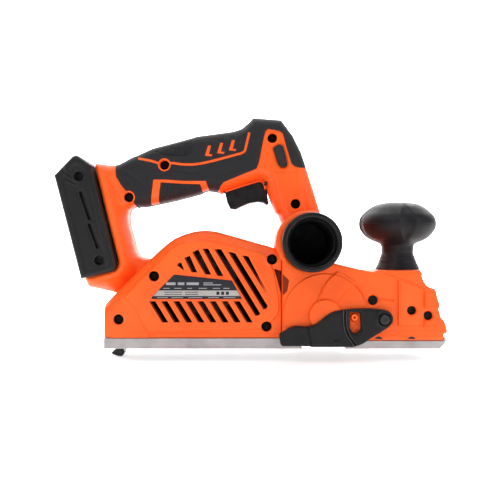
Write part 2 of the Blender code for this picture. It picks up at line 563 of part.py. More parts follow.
bearing("drum_bearing_right", DRUM, 10.9, 5.3, -45.2, -41.0)
bearing("drum_bearing_left", DRUM, 10.9, 5.3, 41.5, 45.3)

# --- motor ------------------------------------------------------------------------------
rotor = turned("rotor", [(0, 64.0), (3.6, 64.0), (4.0, 63.4), (4.0, 25.0), (9.0, 25.0), (14.0, 22.0), (17.6, 20.0),
                         (17.6, -20.0), (14.0, -22.0), (9.0, -25.0), (4.0, -25.0), (4.0, -39.8), (0, -39.8)],
               MOTOR, "Y", 20)
finish(rotor, m_copper, (MOTOR[0], 0, MOTOR[1]))
stator = turned("stator", [(27.0, 26.0), (27.0, -26.0), (18.4, -26.0), (18.4, 26.0)], MOTOR, "Y", 24, closed=True)
finish(stator, m_steel)
fan_loop = []
for i in range(11):
    t = 2 * math.pi * i / 11
    for r, da in ((8.0, -0.16), (23.5, -0.05), (23.5, 0.05), (8.0, 0.16)):
        fan_loop.append((MOTOR[0] + r * math.cos(t + da), MOTOR[1] + r * math.sin(t + da)))
fan = slab("cooling_fan", fan_loop, -34.6, -28.2)
join(fan, rod("fan_disc", 24.5, MOTOR, "Y", -28.9, -27.2, CUTTERS, 28))
cut(fan, rod("fan_bore", 4.3, MOTOR, "Y", -40, -20, CUTTERS, 16))
finish(fan, m_black, (MOTOR[0], 0, MOTOR[1]))
bearing("motor_bearing_right", MOTOR, 7.9, 4.3, -40.2, -36.2)
bearing("motor_bearing_left", MOTOR, 7.9, 4.3, 33.4, 38.4)

# --- belt drive ---------------------------------------------------------------------------
motor_pulley = turned("motor_pulley", [(PULLEY_M + 1.8, 63.0), (PULLEY_M + 1.8, 61.6), (PULLEY_M, 61.4), (PULLEY_M, 50.6),
                                       (PULLEY_M + 1.8, 50.4), (PULLEY_M + 1.8, 49.0), (4.3, 49.0), (4.3, 63.0)],
                      MOTOR, "Y", 20, closed=True)
finish(motor_pulley, m_steel, (MOTOR[0], 0, MOTOR[1]))
drum_pulley = turned("drum_pulley", [(PULLEY_D, 62.4), (PULLEY_D, 49.6), (5.3, 49.6), (5.3, 62.4)], DRUM, "Y", 28,
                     closed=True)
finish(drum_pulley, m_black, (DRUM[0], 0, DRUM[1]))
finish(slab("drive_belt", [belt_loop(PULLEY_M + 2.4, PULLEY_D + 2.4), belt_loop(PULLEY_M + GAP, PULLEY_D + GAP)],
            BELT_Y0, BELT_Y1), m_belt)

COVER = cut_below(belt_loop(24.0, 38.0, 20), 3.6)
cover = slab("belt_cover", COVER, BODY_H - 20, 68.0, bevel=2.5, steps=1)
for i, (x, z) in enumerate(COVER_SCREWS):
    if i == 2:
        join(cover, rod("cover_ear", 5.0, (x, z), "Y", 44, 60, CUTTERS, 16))
cut(cover, box("cover_back", -60, 200, 0, BODY_H + 0.4, -10, 140, CUTTERS))
cavity = slab("cover_cavity", cut_below(belt_loop(21.8, 35.8, 20), 5.8), BODY_H - 6, 65.8, CUTTERS)
for i, (x, z) in enumerate(COVER_SCREWS):
    cut(cavity, rod(f"cover_post_{i}", 4.0, (x, z), "Y", 30, 80, CUTTERS, 14))
cut(cover, cavity)
for i, (x, z) in enumerate(COVER_SCREWS):
    top = 60.0 if i == 2 else 68.0
    cut(cover, rod(f"cover_screw_well_{i}", 3.1, (x, z), "Y", top - 6, 80, CUTTERS, 14))
    cut(cover, rod(f"cover_screw_bore_{i}", 1.75, (x, z), "Y", 30, 80, CUTTERS, 10))
    finish(turned(f"cover_screw_{i + 1}", [(0, top - 3.2), (2.2, top - 3.2), (2.8, top - 4.0), (2.8, top - 5.7),
                                           (1.45, top - 5.7), (1.45, 33.0), (0, 32.0)], (x, z), "Y", 12), m_steel)
finish(cover, m_black)

# --- electronics ---------------------------------------------------------------------------
finish(box("controller_board", -64, -33, -27, 27, 15, 17.4), m_board, smooth=False)
finish(box("switch_body", 18, 46, -9, 9, 155, 174, bevel=0.8), m_black)

# --- trigger --------------------------------------------------------------------------------
TRIGGER = [(16.8, 135.6), (19.1, 125.6), (21.8, 120.4), (26.4, 119.8), (31.8, 122.5), (39.0, 125.4), (46.3, 126.6),
           (50.8, 126.1), (54.4, 123.8), (56.0, 125.0), (54.4, 135.5), (57.3, 141.0), (55.8, 145.5), (50.0, 147.4),
           (44.0, 146.6), (18.0, 138.6)]
trigger = slab("trigger", TRIGGER, -8.2, 8.2, bevel=1.0, steps=1)
cut(trigger, rod("trigger_bore", 1.8, TRIGGER_PIVOT, "Y", -12, 12, CUTTERS, 12))
finish(trigger, m_black, (TRIGGER_PIVOT[0], 0, TRIGGER_PIVOT[1]))
finish(rod("trigger_pin", 1.5, TRIGGER_PIVOT, "Y", -17.1, 17.1, sides=12), m_steel)
finish(coil("trigger_spring", (28.0, 0.0), "Z", 3.0, 0.45, 143.4, 154.2, 4.0, 8), m_spring)

button = slab("lock_off_button", [(60.2, 172.9), (64.4, 159.2), (66.1, 156.3), (70.2, 156.3), (71.8, 158.5),
                                  (67.8, 174.0), (65.0, 175.7)], -23.2, -13.0, bevel=0.8, steps=1)
finish(button, m_black)
finish(coil("lock_spring", (66.0, 166.0), "Y", 2.6, 0.4, -12.3, 8.0, 4.0, 8), m_spring)

# --- side guard over the end of the drum ------------------------------------------------------
GUARD = [(64.1, 14.0), (63.8, 11.0), (65.0, 4.4), (66.7, 3.2), (89.0, 3.2), (90.9, 2.5), (126.7, 2.5), (133.7, 5.1),
         (142.0, 10.8), (151.6, 16.5), (156.7, 20.4), (159.3, 24.9), (158.9, 28.7), (156.1, 32.5), (151.6, 34.1),
         (140.1, 35.0), (126.1, 34.8), (116.5, 33.8), (108.8, 32.2), (103.7, 29.4), (98.6, 24.9), (94.2, 21.7),
         (88.4, 19.8), (76.9, 20.4), (73.0, 19.1), (68.5, 16.5)]
WINDOW = [(122.9, 31.6), (122.9, 18.6), (125.4, 14.6), (128.4, 14.2), (132.0, 17.2), (131.6, 31.6)]
guard = slab("side_guard", [GUARD, WINDOW], -52.0, -48.1, bevel=0.5, steps=0)
cut(guard, rod("guard_bore", 3.3, GUARD_PIVOT, "Y", -60, -40, CUTTERS, 16))
finish(guard, m_black, (GUARD_PIVOT[0], 0, GUARD_PIVOT[1]))
finish(turned("guard_pivot_screw", [(0, -39.0), (2.55, -39.0), (2.55, -47.8), (3.0, -47.8), (3.0, -52.3), (4.3, -52.3),
                                    (4.3, -53.6), (3.6, -54.2), (0, -54.2)], GUARD_PIVOT, "Y", 16), m_steel)
finish(coil("guard_spring", GUARD_PIVOT, "Y", 7.3, 0.45, -44.0, -47.2, 2.5, 12), m_spring)

# --- park foot, which folds up when the sole is pressed on the work ---------------------------------
FOOT = [(-82.7, 5.3), (-82.9, 2.4), (-81.0, -0.8), (-78.7, -3.5), (-81.9, -5.4), (-83.7, -7.6), (-82.8, -9.0),
        (-76.9, -10.7), (-74.3, -10.5), (-72.1, -6.6), (-73.3, -3.7), (-75.6, 3.0), (-76.4, 5.8), (-78.2, 7.4),
        (-81.0, 7.4)]
foot = slab("foot", FOOT, -6.5, 6.5, bevel=0.5, steps=0)
cut(foot, rod("foot_bore", 1.8, FOOT_PIVOT, "Y", -12, 12, CUTTERS, 12))
finish(foot, m_black, (FOOT_PIVOT[0], 0, FOOT_PIVOT[1]))
finish(rod("foot_pin", 1.5, FOOT_PIVOT, "Y", -14.1, 14.1, sides=12), m_steel)
finish(coil("foot_spring", FOOT_PIVOT, "Y", 2.6, 0.4, 7.4, 10.4, 3.0, 10), m_spring)

# --- label ------------------------------------------------------------------------------------------
finish(slab("rating_label", [(-24.8, 63.0), (-43.8, 43.8), (-43.8, 42.4), (32.7, 42.4), (24.1, 57.9)],
            -BODY_H - 0.8, -BODY_H - GAP), m_label, smooth=False)
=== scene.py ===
"""The looks of a cordless hand planer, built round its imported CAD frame.

Lengths are in millimetres in the shape code and become metres when a mesh is made.
+X is the planing direction, +Y the left side (belt cover), +Z up. The origin is the
centre of the rear sole's bottom face.
"""
import math

import bmesh
import bpy
import numpy as np
from mathutils import Matrix, Vector
from mathutils.geometry import delaunay_2d_cdt


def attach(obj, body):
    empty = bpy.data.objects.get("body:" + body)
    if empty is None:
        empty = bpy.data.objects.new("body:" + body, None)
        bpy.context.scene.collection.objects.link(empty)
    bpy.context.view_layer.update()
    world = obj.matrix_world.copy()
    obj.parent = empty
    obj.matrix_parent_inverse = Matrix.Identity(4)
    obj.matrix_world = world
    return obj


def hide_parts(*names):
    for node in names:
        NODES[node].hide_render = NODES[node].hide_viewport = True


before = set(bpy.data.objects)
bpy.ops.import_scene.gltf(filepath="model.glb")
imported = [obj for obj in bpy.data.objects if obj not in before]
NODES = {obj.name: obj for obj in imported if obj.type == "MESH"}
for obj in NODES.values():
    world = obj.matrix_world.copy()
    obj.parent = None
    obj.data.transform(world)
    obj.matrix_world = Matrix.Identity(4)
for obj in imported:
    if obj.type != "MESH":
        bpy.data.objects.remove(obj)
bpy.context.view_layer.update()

MM = 0.001
scene = bpy.context.scene


# ---------------------------------------------------------------- materials --
def _mat(name):
    mat = bpy.data.materials.new(name)
    mat.use_nodes = True
    tree = mat.node_tree
    return mat, tree, tree.nodes["Principled BSDF"]


def _noise(tree, scale, detail=3.0, rough=0.55, coords=None, stretch=None):
    tex = tree.nodes.new("ShaderNodeTexCoord")
    source = tex.outputs["Object"]
    if stretch:
        mapping = tree.nodes.new("ShaderNodeMapping")
        mapping.inputs["Scale"].default_value = stretch
        tree.links.new(source, mapping.inputs["Vector"])
        source = mapping.outputs["Vector"]
    noise = tree.nodes.new("ShaderNodeTexNoise")
    noise.inputs["Scale"].default_value = scale
    noise.inputs["Detail"].default_value = detail
    noise.inputs["Roughness"].default_value = rough
    tree.links.new(source, noise.inputs["Vector"])
    return noise


def _ramp(tree, source, stops):
    ramp = tree.nodes.new("ShaderNodeValToRGB")
    elements = ramp.color_ramp.elements
    while len(elements) < len(stops):
        elements.new(0.5)
    for element, (pos, colour) in zip(elements, stops):
        element.position = pos
        element.color = (*colour, 1.0)
    tree.links.new(source, ramp.inputs["Fac"])
    return ramp


def _range(tree, source, lo, hi, from_lo=0.3, from_hi=0.7):
    node = tree.nodes.new("ShaderNodeMapRange")
    node.inputs["From Min"].default_value = from_lo
    node.inputs["From Max"].default_value = from_hi
    node.inputs["To Min"].default_value = lo
    node.inputs["To Max"].default_value = hi
    tree.links.new(source, node.inputs["Value"])
    return node


def _mix(tree, factor, a, b, mode="MIX"):
    node = tree.nodes.new("ShaderNodeMix")
    node.data_type = "RGBA"
    node.blend_type = mode
    node.clamp_factor = True
    if isinstance(factor, float):
        node.inputs["Factor"].default_value = factor
    else:
        tree.links.new(factor, node.inputs["Factor"])
    for socket, value in (("A", a), ("B", b)):
        target = [s for s in node.inputs if s.name == socket and s.type == "RGBA"][0]
        if isinstance(value, tuple):
            target.default_value = (*value, 1.0)
        else:
            tree.links.new(value, target)
    return [s for s in node.outputs if s.type == "RGBA"][0]


def _bump(tree, shader, height, strength, distance):
    bump = tree.nodes.new("ShaderNodeBump")
    bump.inputs["Strength"].default_value = strength
    bump.inputs["Distance"].default_value = distance
    tree.links.new(height, bump.inputs["Height"])
    tree.links.new(bump.outputs["Normal"], shader.inputs["Normal"])
    return bump


def moulded(name, colour, lighter, darker, rough=(0.38, 0.5), grain=1400.0, grain_depth=0.00004, specular=0.5,
            edge=0.25, coat=0.0):
    """Moulded plastic: a spark-eroded grain, slight mottling and dust, and lighter, rubbed edges."""
    mat, tree, shader = _mat(name)
    broad = _noise(tree, 26.0, 3.0)
    tone = _ramp(tree, broad.outputs["Fac"], [(0.32, darker), (0.5, colour), (0.7, lighter)])
    base = tone.outputs["Color"]
    geometry = tree.nodes.new("ShaderNodeNewGeometry")
    worn = _range(tree, geometry.outputs["Pointiness"], 0.0, 1.0, 0.515, 0.56)
    scuff = _noise(tree, 180.0, 4.0)
    patchy = _range(tree, scuff.outputs["Fac"], 0.2, 1.0, 0.4, 0.62)
    amount = tree.nodes.new("ShaderNodeMath")
    amount.operation = "MULTIPLY"
    tree.links.new(worn.outputs["Result"], amount.inputs[0])
    tree.links.new(patchy.outputs["Result"], amount.inputs[1])
    scaled = tree.nodes.new("ShaderNodeMath")
    scaled.operation = "MULTIPLY"
    scaled.inputs[1].default_value = edge
    tree.links.new(amount.outputs["Value"], scaled.inputs[0])
    rubbed = tuple(min(1.0, c * 1.3 + 0.02) for c in lighter)
    base = _mix(tree, scaled.outputs["Value"], base, rubbed)
    tree.links.new(base, shader.inputs["Base Color"])
    fine = _noise(tree, grain, 2.0)
    tree.links.new(_range(tree, scuff.outputs["Fac"], rough[0], rough[1], 0.35, 0.65).outputs["Result"],
                   shader.inputs["Roughness"])
    _bump(tree, shader, fine.outputs["Fac"], 0.35, grain_depth)
    shader.inputs["Specular IOR Level"].default_value = specular
    if coat:
        shader.inputs["Coat Weight"].default_value = coat
        shader.inputs["Coat Roughness"].default_value = 0.25
    return mat


def metal(name, colour, rough, stretch, scale=220.0, depth=0.00002, dark=0.75, spots=0.0):
    """Bare metal with a directional tool finish, faint blotches and small roughness changes."""
    mat, tree, shader = _mat(name)
    lines = _noise(tree, scale, 4.0, 0.6, stretch=stretch)
    blotch = _noise(tree, 34.0, 3.0)
    dim = tuple(c * dark for c in colour)
    tone = _ramp(tree, blotch.outputs["Fac"], [(0.3, dim), (0.55, colour), (0.75, tuple(min(1, c * 1.08) for c in colour))])
    shade = _mix(tree, 0.35, tone.outputs["Color"], lines.outputs["Color"], "SOFT_LIGHT")
    tree.links.new(shade, shader.inputs["Base Color"])
    shader.inputs["Metallic"].default_value = 1.0
    tree.links.new(_range(tree, lines.outputs["Fac"], rough[0], rough[1]).outputs["Result"], shader.inputs["Roughness"])
    _bump(tree, shader, lines.outputs["Fac"], 0.4, depth)
    return mat


def rubber(name, colour, lighter, rough=(0.6, 0.8)):
    """Soft overmould: fine leathery grain, a dusty bloom on raised parts."""
    mat, tree, shader = _mat(name)
    broad = _noise(tree, 40.0, 4.0)
    tone = _ramp(tree, broad.outputs["Fac"], [(0.3, colour), (0.72, lighter)])
    geometry = tree.nodes.new("ShaderNodeNewGeometry")
    worn = _range(tree, geometry.outputs["Pointiness"], 0.0, 0.45, 0.51, 0.57)
    base = _mix(tree, worn.outputs["Result"], tone.outputs["Color"], tuple(c * 1.7 + 0.003 for c in lighter))
    tree.links.new(base, shader.inputs["Base Color"])
    cells = tree.nodes.new("ShaderNodeTexVoronoi")
    cells.inputs["Scale"].default_value = 900.0
    coords = tree.nodes.new("ShaderNodeTexCoord")
    tree.links.new(coords.outputs["Object"], cells.inputs["Vector"])
    tree.links.new(_range(tree, broad.outputs["Fac"], rough[0], rough[1]).outputs["Result"], shader.inputs["Roughness"])
    _bump(tree, shader, cells.outputs["Distance"], 0.3, 0.00008)
    shader.inputs["Specular IOR Level"].default_value = 0.28
    shader.inputs["Sheen Weight"].default_value = 0.04
    return mat


ORANGE = moulded("orange_moulded", (1.0, 0.118, 0.010), (1.0, 0.132, 0.014), (0.96, 0.105, 0.008), rough=(0.38, 0.5),
                 specular=0.32, edge=0.22)
# A dark orange used as painted shade on louvre slopes and in pockets of the orange casing and frame.
PAINTED_SHADE_ORANGE = moulded("orange_painted_shade", (0.20, 0.020, 0.004), (0.24, 0.026, 0.005), (0.16, 0.015, 0.003), rough=(0.6, 0.7), specular=0.2)
# A darker orange meant as painted shade for the insides of orange parts; nothing uses it.
ORANGE_INSIDE_SHADE = moulded("orange_inside_painted_shade", (0.30, 0.03, 0.004), (0.34, 0.04, 0.006), (0.25, 0.025, 0.003), rough=(0.6, 0.7))
GRIP = rubber("overmould_rubber", (0.0125, 0.0125, 0.0145), (0.0175, 0.017, 0.0195))
BLACK = moulded("black_moulded", (0.0045, 0.0045, 0.0055), (0.0065, 0.0063, 0.0075), (0.0035, 0.0035, 0.004),
                rough=(0.32, 0.46), specular=0.28, edge=0.35)
SHOE_M = moulded("battery_shoe_plastic", (0.0085, 0.0082, 0.0095), (0.0115, 0.011, 0.0125), (0.0065, 0.0062, 0.007),
                 rough=(0.4, 0.56), specular=0.3, edge=0.35)
KNOB_M = moulded("knob_plastic", (0.0105, 0.0098, 0.012), (0.0135, 0.0125, 0.0155), (0.008, 0.0075, 0.009),
                 rough=(0.42, 0.54), specular=0.22, edge=0.3)
# Near-black used as painted shade: well floors and walls, screw-hole sleeves, the outlet's liner, the shells' inner
# faces, a screw recess and two notches.
PAINTED_SHADE_BLACK = moulded("painted_shade_black", (0.004, 0.004, 0.005), (0.005, 0.005, 0.006), (0.003, 0.003, 0.004), rough=(0.6, 0.8),
               edge=0.0)
SOLE = metal("milled_aluminium", (0.50, 0.475, 0.48), (0.4, 0.56), (1.0, 30.0, 30.0))
DRUM_M = metal("turned_aluminium", (0.6, 0.6, 0.61), (0.22, 0.38), (8.0, 60.0, 8.0))
STEEL = metal("bright_steel", (0.5, 0.5, 0.52), (0.2, 0.36), (6.0, 6.0, 6.0))
BLADE = metal("ground_steel", (0.7, 0.7, 0.72), (0.12, 0.24), (2.0, 40.0, 40.0))
BLACK_STEEL = metal("black_oxide_steel", (0.05, 0.05, 0.055), (0.35, 0.5), (6.0, 6.0, 6.0))
# A paler black used as a painted highlight along the guard's ridge crests.
RIDGE_HIGHLIGHT = moulded("black_painted_highlight", (0.07, 0.07, 0.075), (0.09, 0.09, 0.095), (0.05, 0.05, 0.055), rough=(0.4, 0.5), specular=0.3)
# Near-black for the housing screws: their own black finish, darkened further as painted shade at the bottom of their
# wells.
SCREW_BLACK_SHADED = moulded("screw_black_painted_shade", (0.0025, 0.0025, 0.003), (0.004, 0.004, 0.0045), (0.002, 0.002, 0.002), rough=(0.5, 0.65),
                     specular=0.15, edge=0.0)
SPRING = metal("spring_wire", (0.58, 0.58, 0.6), (0.18, 0.3), (6.0, 6.0, 6.0))
COPPER = metal("copper_winding", (0.72, 0.30, 0.14), (0.25, 0.4), (1.0, 90.0, 1.0))
BRASS = metal("terminal_brass", (0.78, 0.58, 0.26), (0.2, 0.32), (2.0, 2.0, 60.0))
BELT = rubber("belt_rubber", (0.012, 0.012, 0.013), (0.02, 0.02, 0.021), (0.7, 0.9))
BOARD = moulded("board_mask", (0.012, 0.09, 0.035), (0.018, 0.12, 0.05), (0.01, 0.07, 0.03), rough=(0.25, 0.35))
LABEL = moulded("label_dark", (0.016, 0.018, 0.024), (0.020, 0.022, 0.028), (0.013, 0.014, 0.019), rough=(0.35, 0.45),
                specular=0.3,
                grain_depth=0.00001, edge=0.0)
LABEL_SILVER = moulded("label_silver", (0.42, 0.40, 0.38), (0.47, 0.45, 0.43), (0.37, 0.35, 0.34), rough=(0.3, 0.42),
                       grain_depth=0.00001, edge=0.0)
LABEL_INK = moulded("label_ink", (0.34, 0.34, 0.35), (0.38, 0.38, 0.39), (0.30, 0.30, 0.31), rough=(0.4, 0.5),
                    grain_depth=0.00001, edge=0.0)


# ------------------------------------------------------------ outline tools --
def arr(points):
    return np.array(points, float)


def signed_area(poly):
    x, z = poly[:, 0], poly[:, 1]
    return 0.5 * float(np.sum(x * np.roll(z, -1) - np.roll(x, -1) * z))


def ccw(poly):
    poly = arr(poly)
    return poly if signed_area(poly) > 0 else poly[::-1].copy()


def fillet(points, radius, n=4):
    """Rounds each corner of a closed outline with a short quadratic arc."""
    points = arr(points)
    out = []
    count = len(points)
    radii = radius if isinstance(radius, (list, tuple)) else [radius] * count
    for i in range(count):
        p, q, r = points[i - 1], points[i], points[(i + 1) % count]
        a, b = p - q, r - q
        la, lb = np.linalg.norm(a), np.linalg.norm(b)
        reach = min(radii[i], la * 0.45, lb * 0.45)
        s, e = q + a / la * reach, q + b / lb * reach
        turn = abs(math.atan2(float(a[0] * b[1] - a[1] * b[0]), float(-(a @ b))))
        if reach < 0.05 or turn < 0.06:
            out.append(q)
            continue
        k = max(2, min(n, int(turn / 0.25) + 2))
        for j in range(k + 1):
            t = j / k
            out.append((1 - t) ** 2 * s + 2 * t * (1 - t) * q + t * t * e)
    return arr(out)


def resample(poly, step):
    out = []
    for a, b in zip(poly, np.roll(poly, -1, axis=0)):
        n = max(1, int(round(np.linalg.norm(b - a) / step)))
        out.extend(a + (b - a) * k / n for k in range(n))
    return arr(out)


def normals_in(poly):
    """Inward unit normals of an anticlockwise outline, at its points."""
    d = np.roll(poly, -1, axis=0) - np.roll(poly, 1, axis=0)
    d /= np.maximum(np.linalg.norm(d, axis=1, keepdims=True), 1e-9)
    return np.stack([-d[:, 1], d[:, 0]], axis=1)


def dist_line(P, line, closed=True):
    """Distance from each point to a polyline."""
    A = line if closed else line[:-1]
    B = np.roll(line, -1, axis=0) if closed else line[1:]
    best = np.full(len(P), 1e9)
    for a, b in zip(A, B):
        ab = b - a
        L = float(ab @ ab)
        if L < 1e-12:
            continue
        t = np.clip(((P - a) @ ab) / L, 0, 1)
        d = P - (a + t[:, None] * ab)
        best = np.minimum(best, np.einsum("ij,ij->i", d, d))
    return np.sqrt(best)


def inside(P, poly):
    x, z = P[:, 0], P[:, 1]
    hit = np.zeros(len(P), bool)
    for (ax, az), (bx, bz) in zip(poly, np.roll(poly, -1, axis=0)):
        if az == bz:
            continue
        cross = ((az > z) != (bz > z)) & (x < (bx - ax) * (z - az) / (bz - az) + ax)
        hit ^= cross
    return hit


def sd(P, poly, reach=None):
    """Signed distance to an outline, positive inside. Points far outside are skipped."""
    out = np.full(len(P), -1e3)
    if reach is None:
        idx = np.arange(len(P))
    else:
        lo, hi = poly.min(0) - reach, poly.max(0) + reach
        idx = np.nonzero(((P > lo) & (P < hi)).all(1))[0]
    if len(idx) == 0:
        return out
    Q = P[idx]
    d = dist_line(Q, poly)
    out[idx] = np.where(inside(Q, poly), d, -d)
    return out


def smooth(t):
    t = np.clip(t, 0, 1)
    return t * t * (3 - 2 * t)


def circle(centre, radius, count=32):
    a = np.linspace(0, 2 * math.pi, count, endpoint=False)
    return np.stack([centre[0] + radius * np.cos(a), centre[1] + radius * np.sin(a)], axis=1)


def strip(line, width):
    """A closed outline of even width along an open line."""
    line = arr(line)
    d = np.gradient(line, axis=0)
    d /= np.linalg.norm(d, axis=1, keepdims=True)
    n = np.stack([-d[:, 1], d[:, 0]], axis=1) * width / 2
    return ccw(np.concatenate([line + n, (line - n)[::-1]]))


def rect(x0, x1, z0, z1):
    return arr([(x0, z0), (x1, z0), (x1, z1), (x0, z1)])


def feature(poly, depth, width=0.6, through=False, paint=None, profile=None, step=0.8, bias=0.0):
    """A raised (+) or sunk (-) area of a relief, with a rounded step of a given width."""
    return {"poly": ccw(poly), "depth": depth, "w": width, "through": through, "paint": paint, "profile": profile,
            "step": step, "bias": bias}


# -------------------------------------------------------------- mesh makers --
def make_object(name, verts, faces, mats, mat_ids=None, angle=38.0, weld=0.0):
    mesh = bpy.data.meshes.new(name)
    mesh.from_pydata((np.asarray(verts, float) * MM).tolist(), [], [list(map(int, f)) for f in faces])
    for mat in mats:
        mesh.materials.append(mat)
    if mat_ids is not None:
        mesh.polygons.foreach_set("material_index", np.asarray(mat_ids, np.int32))
    bm = bmesh.new()
    bm.from_mesh(mesh)
    bmesh.ops.remove_doubles(bm, verts=bm.verts, dist=max(weld, 1e-7))
    bmesh.ops.dissolve_degenerate(bm, edges=bm.edges, dist=1e-7)
    bmesh.ops.recalc_face_normals(bm, faces=bm.faces)
    bm.to_mesh(mesh)
    bm.free()
    mesh.shade_smooth()
    mesh.set_sharp_from_angle(angle=math.radians(angle))
    obj = bpy.data.objects.new(name, mesh)
    scene.collection.objects.link(obj)
    return obj


def relief_grid(outline, holes, features, spacing, edge_r, edge_step):
    """Points of a relief: outline, rings inside its rounded edge, rings round features, and a fill."""
    outline = ccw(outline)
    loops = [resample(outline, edge_step)] + [resample(ccw(h)[::-1], edge_step) for h in holes]
    cell = 0.22
    taken = {}
    points = []

    def near(p, gap):
        n = int(gap / cell) + 1
        cx, cz = int(math.floor(p[0] / cell)), int(math.floor(p[1] / cell))
        for i in range(cx - n, cx + n + 1):
            for j in range(cz - n, cz + n + 1):
                for q in taken.get((i, j), ()):
                    if (q[0] - p[0]) ** 2 + (q[1] - p[1]) ** 2 < gap * gap:
                        return True
        return False

    def put(p):
        taken.setdefault((int(math.floor(p[0] / cell)), int(math.floor(p[1] / cell))), []).append((p[0], p[1]))
        points.append((p[0], p[1]))

    edges = []
    for loop in loops:
        start = len(points)
        for p in loop:
            put(p)
        n = len(loop)
        edges += [(start + k, start + (k + 1) % n) for k in range(n)]
    border = len(points)
    whole = [np.roll(l, 0, axis=0) for l in loops]

    def depth_inside(P):
        d = np.full(len(P), 1e9)
        ok = inside(P, loops[0])
        for k, loop in enumerate(whole):
            d = np.minimum(d, dist_line(P, loop))
            if k:
                ok &= ~inside(P, loop)
        return np.where(ok, d, -d)

    constraint = []
    for f in features:
        if f["through"] or f["paint"] is not None:
            loop = resample(f["poly"], f["step"])
            dd = depth_inside(loop)
            keep = dd > 0.12
            ids = []
            for p, ok in zip(loop, keep):
                if ok:
                    if near(p, 0.06):
                        ids.append(None)
                        continue
                    ids.append(len(points))
                    put(p)
                else:
                    ids.append(None)
            for a, b in zip(ids, ids[1:] + ids[:1]):
                if a is not None and b is not None:
                    edges.append((a, b))
    rings = []
    for loop in loops:
        normal = normals_in(loop)
        for share in (0.06, 0.2, 0.42, 0.7, 1.0):
            delta = edge_r * share
            if delta < 0.08:
                continue
            ring = loop + normal * delta
            dd = depth_inside(ring)
            rings.append((ring[dd > delta * 0.92], max(0.16, min(0.5, delta * 0.4))))
    for f in features:
        if f["depth"] == 0 and f["profile"] is None:
            continue
        loop = resample(f["poly"], f["step"])
        normal = normals_in(loop)
        w = f["w"]
        for k in (0.0, 0.5, 1.0):
            offset = (k - 0.5) * w + f["bias"]
            if f["through"]:
                break
            ring = loop + normal * offset
            rings.append((ring, max(0.12, min(0.35, w * 0.4))))
    for ring, gap in rings:
        if not len(ring):
            continue
        dd = depth_inside(ring)
        for p, d in zip(ring, dd):
            if d > 0.1 and not near(p, gap):
                put(p)
    lo, hi = loops[0].min(0), loops[0].max(0)
    rows = int((hi[1] - lo[1]) / (spacing * 0.866)) + 1
    grid = []
    for r in range(rows + 1):
        z = lo[1] + r * spacing * 0.866
        x = np.arange(lo[0] + (r % 2) * spacing / 2, hi[0], spacing)
        grid.append(np.stack([x, np.full(len(x), z)], axis=1))
    grid = np.concatenate(grid)
    dd = depth_inside(grid)
    for p, d in zip(grid, dd):
        if d > spacing * 0.4 and not near(p, spacing * 0.55):
            put(p)
    P = arr(points)
    cdt = delaunay_2d_cdt([Vector(p) for p in points], edges, [], 0, 1e-7)
    V = arr([tuple(v) for v in cdt[0]])
    F = np.array([tuple(f) for f in cdt[2] if len(f) == 3], int)
    centre = V[F].mean(axis=1)
    keep = depth_inside(centre) > 0
    cross = (V[F[:, 1], 0] - V[F[:, 0], 0]) * (V[F[:, 2], 1] - V[F[:, 0], 1]) - \
            (V[F[:, 1], 1] - V[F[:, 0], 1]) * (V[F[:, 2], 0] - V[F[:, 0], 0])
    keep &= np.abs(cross) > 1e-6
    F = F[keep]
    flip = cross[keep] < 0
    F[flip] = F[flip][:, ::-1]
    return V, F, depth_inside, loops


